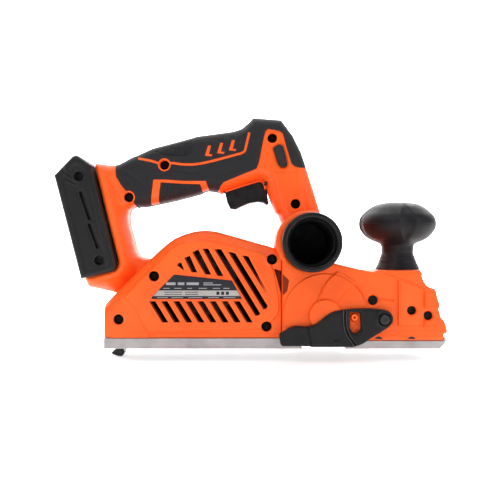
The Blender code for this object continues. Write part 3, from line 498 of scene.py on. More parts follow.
def relief(name, outline, top, side=-1, holes=(), features=(), spacing=1.4, edge_r=3.0, edge_step=0.9, edge_low=None,
           inner=0.1, shell=1.8, mats=(ORANGE,), extra=None, back=None, rows=4, soft=None, lip=0.5, inside_mat=None,
           angle=38.0):
    """A moulded half: a relief over a side outline, with a rounded rim and walls down to the middle plane.

    top is the height of the face, edge_low the height where the rounded rim starts, inner the
    height where the walls end (a number or a function of x and z). back closes it flat at that height.
    """
    holes, features = list(holes), list(features)
    V, F, depth_inside, loops = relief_grid(outline, holes, features, spacing, edge_r, edge_step)
    if edge_low is None:
        edge_low = top - edge_r
    d = np.maximum(depth_inside(V), 0)
    H = None
    if soft is None:
        t = np.clip(d / edge_r, 0, 1)
        H = edge_low + (top - edge_low) * np.sqrt(np.maximum(0, 1 - (1 - t) ** 2))
    else:
        # The broad rounding follows its own outline, and every edge keeps a small lip of its own.
        ds = sd(V, ccw(soft[0]))
        for other in soft[1:]:
            ds = np.minimum(ds, -sd(V, ccw(other)))
        t = np.clip(ds / edge_r, 0, 1)
        H = edge_low + (top - edge_low) * np.sqrt(np.maximum(0, 1 - (1 - t) ** 2))
        if lip:
            t = np.clip(d / lip, 0, 1)
            H = H - lip * (1 - np.sqrt(np.maximum(0, 1 - (1 - t) ** 2)))
    for f in features:
        if f["through"] or (f["depth"] == 0 and f["profile"] is None):
            continue
        s = sd(V, f["poly"], 3 + f["w"])
        share = smooth((s - f["bias"]) / max(f["w"], 1e-3) + 0.5)
        if f["profile"] is not None:
            H = H + f["profile"](V, s) * share
        else:
            H = H + f["depth"] * share
    if extra is not None:
        H = extra(V, H, d)
    centre = V[F].mean(axis=1)
    ids = np.zeros(len(F), int)
    keep = np.ones(len(F), bool)
    for f in features:
        if f["through"]:
            keep &= ~inside(centre, f["poly"])
        elif f["paint"] is not None:
            shrink = f.get("paint_at", 0.0)
            s = sd(centre, f["poly"], 1.0)
            ids[s > shrink] = f["paint"]
    F, ids = F[keep], ids[keep]
    used = np.unique(F)
    remap = -np.ones(len(V), int)
    remap[used] = np.arange(len(used))
    F = remap[F]
    V, H = V[used], H[used]
    verts = [np.stack([V[:, 0], side * H, V[:, 1]], axis=1)]
    faces = F.tolist()
    mat_ids = ids.tolist()
    # Boundary edges on the outline (not those round through slots) carry the walls.
    edge_count = {}
    for tri in F:
        for a, b in ((tri[0], tri[1]), (tri[1], tri[2]), (tri[2], tri[0])):
            key = (min(a, b), max(a, b))
            edge_count[key] = edge_count.get(key, 0) + 1
    rim = [k for k, c in edge_count.items() if c == 1]
    mids = arr([(V[a] + V[b]) / 2 for a, b in rim])
    on_edge = np.full(len(rim), 1e9)
    for loop in loops:
        on_edge = np.minimum(on_edge, dist_line(mids, loop))
    rim = [e for e, dd in zip(rim, on_edge) if dd < 0.02]
    rim_verts = sorted({v for e in rim for v in e})
    levels = []
    total = len(V)
    low = np.array([inner(V[v][0], V[v][1], H[v]) if callable(inner) else inner for v in rim_verts], float)
    for k in range(1, rows + 1):
        share = k / rows
        y = H[rim_verts] * (1 - share) + low * share
        verts.append(np.stack([V[rim_verts, 0], side * y, V[rim_verts, 1]], axis=1))
        levels.append({v: total + i for i, v in enumerate(rim_verts)})
        total += len(rim_verts)
    above = {v: v for v in rim_verts}
    for level in levels:
        for a, b in rim:
            faces.append([above[a], above[b], level[b], level[a]])
            mat_ids.append(0)
        above = level
    if back is not None:
        base = total
        verts.append(np.stack([V[:, 0], np.full(len(V), side * back), V[:, 1]], axis=1))
        last = {v: levels[-1][v] for v in rim_verts}
        for tri, m in zip(F, ids):
            faces.append([last.get(tri[0], base + tri[0]), last.get(tri[2], base + tri[2]), last.get(tri[1], base + tri[1])])
            mat_ids.append(0)
    mats = list(mats)
    if inside_mat is not None:
        mats.append(inside_mat)
    obj = make_object(name, np.concatenate(verts), faces, mats, mat_ids, angle)
    if back is None and shell:
        solid = obj.modifiers.new("Wall", "SOLIDIFY")
        solid.thickness = shell * MM
        solid.offset = -1.0
        solid.use_even_offset = False
        solid.use_rim = True
        if inside_mat is not None:
            solid.material_offset = len(mats) - 1
    return obj


def lathe(name, profile, centre, axis, mats, steps=96, ids=None, angle=35.0, closed=False, radial=None):
    """A turned piece: profile points are (radius, height); radial may change the radius with the angle."""
    prof = arr(profile)
    n = len(prof)
    verts, faces, mat_ids = [], [], []
    for s in range(steps):
        a = 2 * math.pi * s / steps
        for k, (r, h) in enumerate(prof):
            rr = radial(a, r, h) if radial else r
            u, v = rr * math.cos(a), rr * math.sin(a)
            verts.append((centre[0] + u, h, centre[1] + v) if axis == "Y" else (centre[0] + u, centre[1] + v, h))
    last = n if closed else n - 1
    for s in range(steps):
        t = (s + 1) % steps
        for k in range(last):
            k2 = (k + 1) % n
            a, b, c, d = s * n + k, s * n + k2, t * n + k2, t * n + k
            if prof[k][0] < 1e-6 and prof[k2][0] < 1e-6:
                continue
            if prof[k][0] < 1e-6:
                faces.append([a, b, c])
            elif prof[k2][0] < 1e-6:
                faces.append([a, b, d])
            else:
                faces.append([a, b, c, d])
            mat_ids.append(ids[k] if ids else 0)
    return make_object(name, verts, faces, mats, mat_ids, angle, weld=1e-6)


def rounded_profile(points, radius, n=4):
    """Rounds the inner corners of an open profile."""
    pts = arr(points)
    out = [pts[0]]
    for i in range(1, len(pts) - 1):
        p, q, r = pts[i - 1], pts[i], pts[i + 1]
        a, b = p - q, r - q
        la, lb = np.linalg.norm(a), np.linalg.norm(b)
        reach = min(radius, la * 0.45, lb * 0.45)
        s, e = q + a / la * reach, q + b / lb * reach
        for j in range(n + 1):
            t = j / n
            out.append((1 - t) ** 2 * s + 2 * t * (1 - t) * q + t * t * e)
    out.append(pts[-1])
    return arr(out)


def spline(points, n=8):
    """A smooth open line through points (Catmull-Rom)."""
    pts = arr(points)
    pts = np.concatenate([[2 * pts[0] - pts[1]], pts, [2 * pts[-1] - pts[-2]]])
    out = []
    for i in range(1, len(pts) - 2):
        p0, p1, p2, p3 = pts[i - 1:i + 3]
        for j in range(n):
            t = j / n
            out.append(0.5 * ((2 * p1) + (-p0 + p2) * t + (2 * p0 - 5 * p1 + 4 * p2 - p3) * t * t +
                              (-p0 + 3 * p1 - 3 * p2 + p3) * t ** 3))
    out.append(pts[-2])
    return arr(out)


def place(obj, body, *nodes, slot=None):
    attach(obj, body)
    if nodes:
        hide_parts(*nodes)
    return obj


def recess_star(name, centre, y, side, r, depth, mat):
    """A six-lobed driver recess, as a small star sunk in a screw head and coloured near-black as painted shade."""
    verts, faces = [], []
    n = 36
    for ring_y in (y, y + depth * -side):
        for k in range(n):
            a = 2 * math.pi * k / n
            rr = r * (0.86 + 0.14 * math.cos(6 * a))
            verts.append((centre[0] + rr * math.cos(a), ring_y, centre[1] + rr * math.sin(a)))
    for k in range(n):
        m = (k + 1) % n
        faces.append([k, m, n + m, n + k])
    faces.append(list(range(n)))
    faces.append(list(range(n, 2 * n)))
    return make_object(name, verts, faces, [mat])


# ------------------------------------------------------------ main outlines --
HUMP = arr([(-84.5, 9.4), (65.9, 9.4), (65.9, 83.3), (54.5, 86.7), (39.6, 90.9), (21.6, 96.0), (9.7, 99.3),
            (0.8, 100.0), (-7.4, 99.2), (-16.5, 96.7), (-24.6, 93.2), (-31.1, 88.6), (-38.2, 82.4), (-44.8, 76.1),
            (-75.4, 46.0), (-84.5, 36.6)])
LOOP = arr([(-60.0, 47.0), (52.0, 70.0), (72.0, 86.0), (104.5, 100.0), (103.6, 109.0), (101.9, 115.8), (95.5, 136.8),
            (89.4, 156.1), (84.5, 170.4), (77.2, 185.1), (67.1, 198.7), (42.1, 200.7), (38.7, 196.9), (32.4, 191.3),
            (24.9, 188.8), (11.2, 186.9), (-7.6, 184.4), (-11.5, 183.0), (-46.4, 173.7), (-60.2, 167.5),
            (-65.2, 165.6), (-76.4, 159.4), (-82.1, 158.7), (-94.9, 159.2), (-94.9, 153.9), (-74.8, 73.6),
            (-75.2, 70.6), (-77.2, 68.6), (-98.2, 63.2), (-104.2, 61.4), (-101.6, 51.6), (-79.0, 45.9)])
HOLE = arr([(-46.0, 66.0), (60.0, 70.0), (61.0, 86.0), (61.5, 96.0), (64.0, 104.0), (66.5, 109.5), (64.8, 114.8),
            (61.7, 117.3), (59.0, 123.5), (54.6, 135.9), (53.2, 141.8), (51.0, 145.4), (47.4, 146.1), (31.7, 141.4),
            (16.2, 136.2), (14.3, 133.1), (10.0, 135.7), (1.0, 136.8), (-5.1, 133.7), (-26.4, 128.1), (-43.9, 124.3),
            (-52.7, 122.4), (-62.7, 122.4), (-67.3, 119.5), (-68.6, 114.4), (-68.2, 107.2), (-64.8, 94.9),
            (-61.8, 83.2), (-59.2, 79.0), (-54.6, 76.9), (-48.3, 76.2)])
BODY_SCREWS = [(-41.9, 61.6), (-72.2, 24.8), (58.1, 75.8), (53.4, 18.9)]
GRIP_SCREWS = [(-66.6, 129.9), (-35.3, 158.1)]
FRONT_SCREWS = [(58.9, 181.5), (79.1, 124.1)]
COVER_SCREWS = [(50.0, 42.3), (-18.6, 54.5), (129.6, 50.9)]
DRUM = (102.8, 28.4)
DUCT = (90.3, 90.0)
BARREL = (88.6, 90.0)
MOTOR = (1.0, 54.5)
KNOB_X = 171.5
SOFT_HUMP = np.concatenate([arr([(-89.3, -12.0), (95.0, -12.0), (95.0, 75.0)]), HUMP[2:15], arr([(-89.3, 31.6)])])


def well(centre, radius=4.3, depth=8.7, paint=1):
    """A deep round well with a screw at its bottom; its floor and walls are painted near-black as painted shade."""
    return feature(circle(centre, radius, 36), -depth, 0.45, paint=paint, step=0.7)


# ----------------------------------------------------------------- casing ----
LOW_SLOTS = []
for i in range(8):
    x = -42.6 + 10.2 * i
    LOW_SLOTS.append([(x - 1.9, 40.5), (x + 9.1, 22.6), (x + 12.9, 22.6), (x + 1.9, 40.5)])
HIGH_SLOTS = [[(-18.9, 73.7), (-21.1, 70.8), (-16.2, 66.5)],
              [(-14.7, 77.2), (-8.5, 64.9), (-5.2, 64.9), (-11.5, 79.0)],
              [(-8.0, 81.9), (3.0, 63.1), (6.6, 63.1), (-4.4, 84.3)],
              [(0.7, 85.0), (13.4, 61.8), (17.0, 61.8), (4.0, 85.0)],
              [(10.7, 84.5), (45.5, 28.0), (48.2, 29.7), (15.0, 84.5)],
              [(22.3, 82.3), (52.3, 33.3), (54.4, 36.3), (27.1, 80.8)],
              [(34.2, 79.2), (54.4, 46.9), (38.0, 78.4)]]
PANEL = fillet([(-66.2, 45.1), (-23.5, 88.0), (-8.3, 91.6), (7.0, 90.1), (52.7, 80.2), (58.8, 68.0), (62.6, 49.7),
                (64.3, 37.5), (63.0, 29.0), (51.2, 16.8), (-47.9, 14.3), (-58.6, 37.5)], [3, 12, 12, 10, 5, 8, 8, 8, 8, 8, 5, 8])
SHOULDER = fillet([(-79.0, 34.6), (-70.0, 43.6), (-43.3, 70.2), (-32.6, 81.5), (-17.4, 90.9), (0.0, 94.3), (14.6, 91.9),
                   (52.7, 81.9), (62.8, 79.0), (90.0, 70.0), (90.0, -20.0), (-79.0, -20.0)], 6.0)


def casing(side):
    name = "casing_right" if side < 0 else "casing_left"
    outline = resample(ccw(fillet(HUMP, 1.2, 3)), 1.0)
    grow = np.where((outline[:, 1] > 37.0) & (outline[:, 0] < 65.0), 0.6, 0.0)
    outline = outline - normals_in(outline) * grow[:, None]
    feats = [feature(SHOULDER, 1.0, 1.3, step=1.2), feature(PANEL, 1.6, 1.2, step=1.0),
             feature(rect(-46.5, 90.0, -20.0, 13.2), -0.9, 0.6, step=1.2)]
    if side < 0:
        feats += [well(c) for c in BODY_SCREWS]
        # A low collar stands round the upper front screw.
        feats.append(feature(circle((58.1, 75.8), 6.4, 30), 0.6, 0.8, step=1.0))
        for shape in LOW_SLOTS + HIGH_SLOTS:
            feats.append(feature(fillet(shape, 0.5, 3), 0.0, 0.5, through=True, step=0.9))
            # The rear wall of each slot slopes inwards, as a louvre does, and is painted dark orange as painted shade.
            slope = [(x - 1.5, z) if k < 2 else (x, z) for k, (x, z) in enumerate(shape)]
            feats.append(feature(slope, -2.6, 1.4, step=1.0, bias=0.7, paint=2))
        # A deep pocket by the front edge, painted dark orange as painted shade.
        feats.append(feature([(60.2, 67.6), (67.0, 65.6), (67.0, 46.0), (66.2, 46.0)], -6.0, 0.8, paint=2, step=0.8))
    # The wells and the shell's inner faces are painted near-black as painted shade.
    return place(relief(name, outline, 40.6, side, features=feats, spacing=1.5, edge_r=8.5, edge_low=33.0,
                        edge_step=1.0, soft=[SOFT_HUMP], lip=0.5, mats=(ORANGE, PAINTED_SHADE_BLACK, PAINTED_SHADE_ORANGE), inside_mat=PAINTED_SHADE_BLACK, rows=3),
                 "chassis", "housing_right" if side < 0 else "housing_left", slot="housing_orange")


RUBBER = arr([(-79.0, 158.9), (-77.2, 147.8), (-72.8, 140.2), (-69.0, 135.4), (-63.5, 128.0), (-61.9, 123.5),
              (-59.9, 120.6), (-56.5, 121.4), (-47.6, 121.6), (-43.9, 123.8), (-26.4, 128.4), (-5.1, 134.2),
              (-1.9, 135.2), (3.6, 136.2), (6.7, 135.0), (11.9, 135.0), (13.0, 139.1), (16.2, 143.1), (31.1, 149.4),
              (45.2, 155.0), (47.2, 160.0), (51.6, 182.4), (53.2, 188.2), (55.5, 189.8), (65.8, 187.6), (68.1, 186.0),
              (70.5, 176.1), (76.0, 158.6), (78.4, 156.2), (82.3, 155.2), (91.0, 154.9)])


def near_rubber(p):
    """True for a point of the handle's outline that lies under the overmould."""
    x, z = p
    if z > 156.0 and x > 76.0:
        return True
    if z > 157.0 and x > -79.0:
        return True
    return False


def edge_line(loop, keep):
    return [tuple(p) for p in resample(loop, 1.0) if keep(p)]


def handle(side):
    name = "handle_right" if side < 0 else "handle_left"
    # A D-shaped bow that ends on the duct's barrel in front and inside the casing behind.
    arc = [(BARREL[0] + 26.6 * math.cos(t), BARREL[1] + 26.6 * math.sin(t)) for t in np.radians(np.linspace(140.5, 59.6, 14))]
    bow = np.concatenate([arr([(102.2, 114.4)]), LOOP[5:], arr([(-60.0, 47.0), (-46.0, 66.0)]), HOLE[:4:-1], arr(arc)])
    outer = resample(ccw(fillet(bow, 1.6, 3)), 1.0)
    push = normals_in(outer)
    # The moulding is a little smaller where the soft grip covers it.
    under = arr([near_rubber(p) or (118.0 < p[1] < 137.5 and -63.0 < p[0] < 12.0) for p in outer])
    on_hole = dist_line(outer, HOLE) < 1.6
    under = under * (on_hole | arr([near_rubber(p) for p in outer]).astype(bool))
    outer = outer + push * np.where(under > 0, 0.9, 0.0)[:, None]
    feats = []
    if side < 0:
        feats += [well(c, 4.1) for c in FRONT_SCREWS] + [well(GRIP_SCREWS[0], 4.1), well(GRIP_SCREWS[1], 4.1)]
        feats.append(feature(fillet([(59.6, 173.0), (63.9, 159.0), (65.9, 155.8), (70.4, 155.8), (72.3, 158.4),
                                     (68.2, 174.4), (65.0, 176.2)], 1.0), 0.0, 0.4, through=True, step=0.8))
        feats.append(feature(fillet([(58.2, 173.6), (62.9, 158.2), (65.2, 154.6), (71.0, 154.6), (73.6, 158.2),
                                     (69.4, 175.0), (65.2, 177.8)], 1.5), -0.5, 0.6, step=0.9))
    # A flat facet runs up the front post, and another down the rear one.
    feats.append(feature([(50.0, 186.0), (70.0, 186.0), (73.5, 165.0), (92.0, 104.0), (78.0, 98.0), (74.0, 112.0),
                          (60.0, 146.0), (47.0, 150.0)], 0.7, 3.0, step=1.6))
    feats.append(feature([(-90.0, 158.0), (-81.0, 158.0), (-62.0, 108.0), (-55.0, 78.0), (-62.0, 62.0), (-80.0, 60.0)],
                         0.6, 4.0, step=1.8))

    feats.append(feature([(58.6, 151.4), (67.6, 114.0), (70.0, 104.0), (90.0, 104.0), (87.7, 118.2), (82.8, 150.4)],
                         0.9, 1.2, step=1.0))

    def flare(V, H, d):
        # The rear post widens to meet the battery shoe.
        away = np.maximum(-sd(V, SHOE), 0)
        return H + np.where(V[:, 0] < -55.0, 13.6 * smooth(1.06 - away / 16.0), 0.0)

    def inner(x, z, h):
        return 8.8 if (16.0 < x < 55.0 and 133.5 < z < 153.0) else 0.1

    # The wells and the shell's inner faces are painted near-black as painted shade.
    return place(relief(name, outer, 20.0, side, features=feats, extra=flare, spacing=1.5, edge_r=9.5, edge_low=8.5,
                        edge_step=1.0, inner=inner, soft=[LOOP, HOLE], lip=0.3, mats=(ORANGE, PAINTED_SHADE_BLACK), inside_mat=PAINTED_SHADE_BLACK,
                        rows=3), "chassis", "housing_right" if side < 0 else "housing_left", slot="housing_orange")


RIB_PATCH = fillet([(-44.8, 169.6), (-35.0, 173.3), (-10.6, 179.6), (-13.0, 167.5), (-18.5, 165.4), (-35.0, 166.8)], 1.0)
LOW_PATCH = fillet([(-37.8, 141.8), (-19.2, 140.5), (-4.8, 140.2), (-2.6, 134.2), (-16.1, 130.4), (-40.3, 124.2)], 0.8)
FRAME_LINE = [(-44.9, 145.2), (-35.0, 145.2), (-18.5, 144.0), (0.9, 144.0), (3.6, 135.6), (-1.9, 134.4), (-4.1, 141.2),
              (-19.2, 141.5), (-38.5, 142.8), (-41.3, 121.4), (-47.9, 119.4)]
INLAY = [(-58.3, 163.9), (-47.6, 161.6), (-40.5, 159.6), (-35.3, 158.6), (-28.7, 159.6), (-19.2, 158.4), (-7.4, 158.6),
         (5.9, 161.2), (21.7, 165.4), (31.5, 168.0)]
INLAY_UP = [(31.2, 167.9), (34.6, 170.0), (36.3, 175.5), (38.8, 186.2)]
MARKS = [[(2.8, 174.9), (5.5, 174.9), (3.6, 167.5), (6.7, 167.0), (5.9, 165.4), (0.1, 165.9)],
         [(13.5, 177.1), (16.0, 177.1), (14.1, 169.7), (17.3, 169.2), (16.5, 167.6), (10.7, 168.1)],
         [(23.7, 179.6), (26.3, 179.6), (24.4, 172.2), (27.5, 171.7), (26.7, 170.1), (20.9, 170.6)]]


def bars(patch, pitch, width, depth, margin=0.7):
    """Upright ribs that fill a patch, each trimmed to its outline."""
    patch = ccw(patch)
    out = []
    x = patch[:, 0].min() + margin + width / 2
    while x < patch[:, 0].max() - margin - width / 2:
        zs = []
        for (ax, az), (bx, bz) in zip(patch, np.roll(patch, -1, axis=0)):
            if (ax > x) != (bx > x):
                zs.append(az + (x - ax) / (bx - ax) * (bz - az))
        if len(zs) >= 2 and max(zs) - min(zs) > 2.4:
            out.append(feature(rect(x - width / 2, x + width / 2, min(zs) + margin, max(zs) - margin), depth, 0.35,
                               step=1.0))
        x += pitch
    return out


def grip(side):
    name = "soft_grip_right" if side < 0 else "soft_grip_left"
    loop = resample(ccw(fillet(LOOP, 1.6, 3)), 1.0)
    hole = resample(ccw(fillet(HOLE, 2.5, 4)), 1.0)
    # The overmould's outline: its own edge over the moulding, then the handle's outer edge.
    top = [tuple(p) for p in loop if near_rubber(p)]
    top.sort(key=lambda p: p[0])
    top = [p for p in top if p[0] > -78.2]
    low = [tuple(p) for p in hole if p[1] > 118.0 and -59.4 < p[0] < 11.4]
    low.sort(key=lambda p: p[0])
    rear = [(-78.7, 158.9), (-77.2, 147.8), (-72.8, 140.2), (-69.0, 135.4), (-64.4, 129.6), (-62.2, 124.6), (-60.4, 121.4)]
    front = [(12.2, 136.6), (13.4, 139.4), (16.4, 143.0), (31.1, 149.2), (44.6, 154.6), (46.8, 159.0), (51.6, 182.4),
             (53.2, 188.0), (55.5, 189.6), (65.6, 187.6), (68.0, 185.4), (70.5, 176.1), (75.8, 159.4), (78.4, 156.8),
             (82.3, 155.8)]
    ends = top[::-1]
    outline = arr(rear + low + front + ends)
    feats = []
    # Panels and ribs in the soft material.
    feats.append(feature(fillet([(-71.5, 154.0), (-49.9, 150.4), (-52.0, 139.2)], 1.0), 0.7, 0.7, step=0.9))
    feats.append(feature(RIB_PATCH, -0.6, 0.6, step=0.8))
    feats += bars(RIB_PATCH, 1.9, 1.0, 0.75)
    feats += bars(LOW_PATCH, 1.9, 1.0, 0.55)
    feats.append(feature(fillet(FRAME_LINE, 0.5, 3), -0.45, 0.4, paint=1, step=0.8))
    feats.append(feature(strip(spline(INLAY, 5), 2.1), -0.35, 0.35, paint=1, step=0.7))
    feats.append(feature(strip(spline(INLAY_UP, 5), 2.1), -0.35, 0.35, paint=1, step=0.7))
    feats += [feature(m, -0.4, 0.35, paint=1, step=0.6) for m in MARKS]
    # A soft hollow over each mark, and the crease where the grip swells.
    feats += [feature(arr([(m[0][0] - 2.2, m[0][1] + 2.6), (m[0][0] + 2.9, m[0][1] + 3.4), (m[1][0] + 0.4, m[1][1] + 0.6),
                           (m[0][0] - 0.6, m[0][1] + 0.3)]), -0.5, 0.7, step=0.8) for m in MARKS]
    feats.append(feature([(-27.1, 154.1), (-5.1, 151.9), (-5.4, 149.9), (-26.8, 151.9)], -0.5, 0.8, step=0.9))
    feats.append(feature([(-7.6, 186.0), (-2.7, 181.6), (1.2, 178.6), (10.7, 178.6), (31.1, 184.6), (38.0, 193.0)], -0.6,
                         2.2, step=1.2))
    if side < 0:
        for c in GRIP_SCREWS:
            feats.append(feature(circle(c, 5.6, 36), -0.35, 0.4, paint=1, step=0.7))
            # The screw well inside each ring is painted near-black as painted shade.
            feats.append(feature(circle(c, 4.2, 32), -8.6, 0.45, paint=2, step=0.65))
    soft_loop = resample(LOOP, 2.0)

    def inner(x, z, h):
        P = arr([(x, z)])
        near = min(float(dist_line(P, LOOP)[0]), float(dist_line(P, HOLE)[0]))
        return 0.1 if near < 1.0 else max(0.1, h - 1.6)

    return place(relief(name, outline, 21.4, side, features=feats, spacing=1.25, edge_r=10.0, edge_low=9.4,
                        edge_step=0.9, inner=inner, soft=[LOOP, HOLE], lip=0.6, shell=1.2, rows=3,
                        mats=(GRIP, ORANGE, PAINTED_SHADE_BLACK)), "chassis", "grip_right" if side < 0 else "grip_left",
                 slot="grip_rubber")


# ------------------------------------------------------------- front frame ---
FRAME_SIDE = arr([(67.0, 10.0), (84.6, 10.0), (84.6, 3.8), (120.0, 3.8), (120.0, 7.7), (203.0, 7.7), (203.2, 12.9),
                  (205.6, 13.6), (206.0, 15.4), (204.6, 20.7), (203.3, 23.9), (200.8, 26.5), (198.7, 34.0),
                  (199.7, 36.1), (199.5, 38.4), (197.8, 43.2), (196.5, 49.0), (195.4, 50.8), (191.1, 51.8),
                  (188.6, 53.7), (186.0, 57.3), (184.6, 61.5), (185.1, 63.7), (183.3, 65.9), (146.0, 65.9),
                  (143.6, 64.9), (137.9, 65.7), (120.6, 70.0), (112.0, 72.1), (107.6, 72.7)] +
                 [(90.3 + 24.0 * math.cos(t), 90.0 + 24.0 * math.sin(t)) for t in np.radians(np.linspace(-46, -152, 16))] +
                 [(67.0, 78.6)])


def disc(radius, low=3.6):
    pts = circle(DRUM, radius, 72)
    pts[:, 1] = np.maximum(pts[:, 1], low)
    return pts


def frame_side(side):
    name = "frame_side_right" if side < 0 else "frame_side_left"
    feats = []
    holes = []
    if side < 0:
        swirl_a = spline([(113.6, 65.4), (107.6, 60.5), (103.2, 55.3), (100.2, 49.7), (98.1, 45.0), (97.2, 41.5)], 5)
        swirl_b = spline([(128.3, 54.9), (122.7, 51.4), (118.4, 47.1), (115.3, 43.2), (113.6, 38.6)], 5)
        # The blade disc: its left part stands highest, and two swirls lead down from its rim.
        blade = np.concatenate([swirl_a[::-1], arr([(118.4, 63.5), (124.8, 59.6), (129.1, 56.1), (132.6, 51.8),
                                                    (136.1, 45.8), (138.2, 40.7), (139.1, 35.0), (138.8, 26.0),
                                                    (120.0, 20.0), (104.0, 28.0)])])
        feats.append(feature(disc(35.4), 1.4, 1.0, step=1.0))
        feats.append(feature(blade, 0.8, 0.9, step=0.9))
        feats.append(feature(strip(swirl_a, 1.4), 0.7, 0.7, step=0.8))
        tail = np.concatenate([swirl_b, arr([(125.0, 30.0), (136.0, 30.0), (137.4, 38.0), (134.6, 46.5)])])
        feats.append(feature(tail, -1.0, 0.9, step=0.9))
        feats.append(feature(circle(DRUM, 13.8, 48), 2.6, 1.3, step=0.9))
        # Lines of the flat front: ledges, the knob post's edges and the fence panel.
        feats.append(feature([(67.0, 79.4), (112.0, 71.0), (143.6, 61.5), (163.9, 56.6), (163.9, 17.0), (141.0, 17.0),
                              (141.0, 60.0), (113.0, 68.5), (92.0, 60.0), (70.0, 66.0)], -0.0, 0.5, step=1.2))
        feats.append(feature([(120.6, 70.6), (143.6, 65.8), (163.9, 60.3), (186.7, 51.4), (197.0, 49.0), (210.0, 44.0),
                              (210.0, 0.0), (60.0, 0.0), (60.0, 83.0)], 1.3, 0.8, step=1.1))
        feats.append(feature([(164.6, 58.2), (186.0, 50.0), (186.0, 20.5), (164.6, 20.5)], 0.9, 0.5, step=0.9))
        for line, width, rise in (([(164.9, 58.6), (164.9, 40.0), (164.9, 19.5)], 1.5, 1.3),
                                  ([(186.4, 50.4), (186.4, 43.0), (186.4, 35.4)], 1.5, 1.2),
                                  ([(186.4, 28.4), (186.4, 23.0), (186.4, 18.5)], 1.5, 1.2)):
            feats.append(feature(strip(line, width), rise, 0.6, step=0.8))
        # A shallow pocket at the rear edge, painted dark orange as painted shade.
        feats.append(feature([(66.0, 64.4), (72.4, 58.4), (70.9, 49.7), (68.0, 46.0), (66.0, 46.0)], -0.5, 0.6, paint=2,
                             step=0.8))
        feats.append(feature([(186.6, 49.2), (193.6, 47.6), (194.6, 36.0), (186.6, 35.4)], 0.9, 0.5, step=0.9))
        feats.append(feature([(186.6, 27.6), (194.6, 27.6), (196.6, 20.5), (186.6, 20.5)], 0.9, 0.5, step=0.9))
        feats.append(feature([(128.0, -5.0), (215.0, -5.0), (215.0, 16.4), (128.0, 16.4)], -0.9, 0.5, step=1.0))
        feats.append(feature([(128.0, -5.0), (215.0, -5.0), (215.0, 12.2), (128.0, 12.2)], -0.7, 0.45, step=1.0))
        feats.append(feature([(146.5, 43.6), (160.5, 42.0), (160.6, 40.6), (146.6, 42.0)], -0.9, 0.5, step=0.8))
        # Two notches at the bottom edge are barely sunk and painted near-black as painted shade.
        for x in (148.2, 176.0):
            feats.append(feature(circle((x, 6.9), 3.8, 28), -0.1, 0.3, paint=1, step=0.6))
        for c, r in (((175.8, 32.8), 3.9), ((189.6, 28.4), 3.9), ((143.1, 41.4), 4.2)):
            feats.append(feature(circle(c, r + 1.0, 32), -0.25, 0.6, step=0.8))
        holes = [circle((175.8, 32.8), 3.75, 28), circle((189.6, 28.4), 3.75, 28), circle((143.1, 41.4), 4.05, 28),
                 circle((151.9, 25.6), 6.4, 28), circle((127.1, 27.3), 3.1, 20)]
    else:
        feats.append(feature([(141.0, 60.0), (186.0, 50.0), (196.0, 46.0), (199.0, 18.0), (141.0, 14.0)], 0.5, 0.9,
                             step=1.2))
    def inner(x, z, h):
        return 42.2

    # The round side of the drum housing stands out further than the flat front.
    obj = relief(name, fillet(FRAME_SIDE, 0.8, 3), 43.75, side, holes=holes, features=feats, spacing=1.25,
                 edge_r=2.2, edge_low=42.3, edge_step=0.9, inner=inner, shell=0.0, back=42.15, rows=1,
                 mats=(ORANGE, PAINTED_SHADE_BLACK, PAINTED_SHADE_ORANGE))
    return place(obj, "chassis", slot="housing_orange")


def bore_liner(name, centre, radius, y0, y1):
    """A near-black sleeve down a screw hole, painted shade so that it reads as deep."""
    profile = [(radius, y0), (radius, y1), (0.0, y1), (0.0, y1 + 0.25), (radius + 0.12, y1 + 0.25), (radius + 0.12, y0)]
    return place(lathe(name, profile, centre, "Y", [PAINTED_SHADE_BLACK], 32, closed=True), "chassis")


# -------------------------------------------------------------- left cover ---
def belt_hull(r1, r2, grow=0.0):
    a, b = arr(MOTOR), arr(DRUM)
    r1, r2 = r1 + grow, r2 + grow
    d = np.linalg.norm(b - a)
    base = math.atan2(b[1] - a[1], b[0] - a[0])
    tilt = math.acos((r1 - r2) / d)
    pts = []
    for k in range(49):
        t = base + tilt + (2 * math.pi - 2 * tilt) * k / 48
        pts.append((a[0] + r1 * math.cos(t), a[1] + r1 * math.sin(t)))
    for k in range(49):
        t = base - tilt + 2 * tilt * k / 48
        pts.append((b[0] + r2 * math.cos(t), b[1] + r2 * math.sin(t)))
    pts = arr(pts)
    pts[:, 1] = np.maximum(pts[:, 1], 3.7)
    return ccw(pts)


def cover():
    hull = belt_hull(24.0, 38.0)
    feats = [feature(belt_hull(17.0, 30.5), -1.2, 1.2, step=1.2), feature(belt_hull(12.5, 26.0), 0.9, 1.0, step=1.2)]
    # Fingers' ribs across the lowered field, and a wedge of stops for the wrench.
    for i in range(7):
        x = 24.0 + 8.4 * i
        z = 52.5 - 2.15 * i
        feats.append(feature(fillet([(x - 1.4, z + 11.5), (x + 1.4, z + 11.5), (x + 4.4, z - 11.5), (x + 1.6, z - 11.5)],
                                    0.8), 0.8, 0.8, step=1.0))
    feats.append(feature(circle(DRUM, 12.0, 40), 0.8, 1.0, step=1.0))
    feats.append(feature(circle(DRUM, 9.0, 36), -0.8, 0.8, step=1.0))
    for c in COVER_SCREWS[:2]:
        feats.append(feature(circle(c, 5.2, 32), 0.9, 0.7, step=0.8))
        feats.append(feature(circle(c, 3.15, 28), -6.2, 0.4, step=0.6))
    obj = relief("belt_cover_shell", hull, 66.2, 1, features=feats, spacing=1.5, edge_r=7.5, edge_low=59.0,
                 edge_step=1.2, inner=43.5, shell=1.8, mats=(BLACK,), rows=3)
    place(obj, "chassis", "belt_cover", slot="black_plastic")
    x, z = COVER_SCREWS[2]
    ear = [(3.15, 60.0), (3.15, 54.2), (1.8, 54.2), (1.8, 43.6), (5.0, 43.6), (5.0, 59.2), (4.7, 59.8), (4.2, 60.0)]
    place(lathe("belt_cover_ear", rounded_profile(ear, 0.3, 2), (x, z), "Y", [BLACK], 48, closed=True), "chassis",
          "belt_cover", slot="black_plastic")


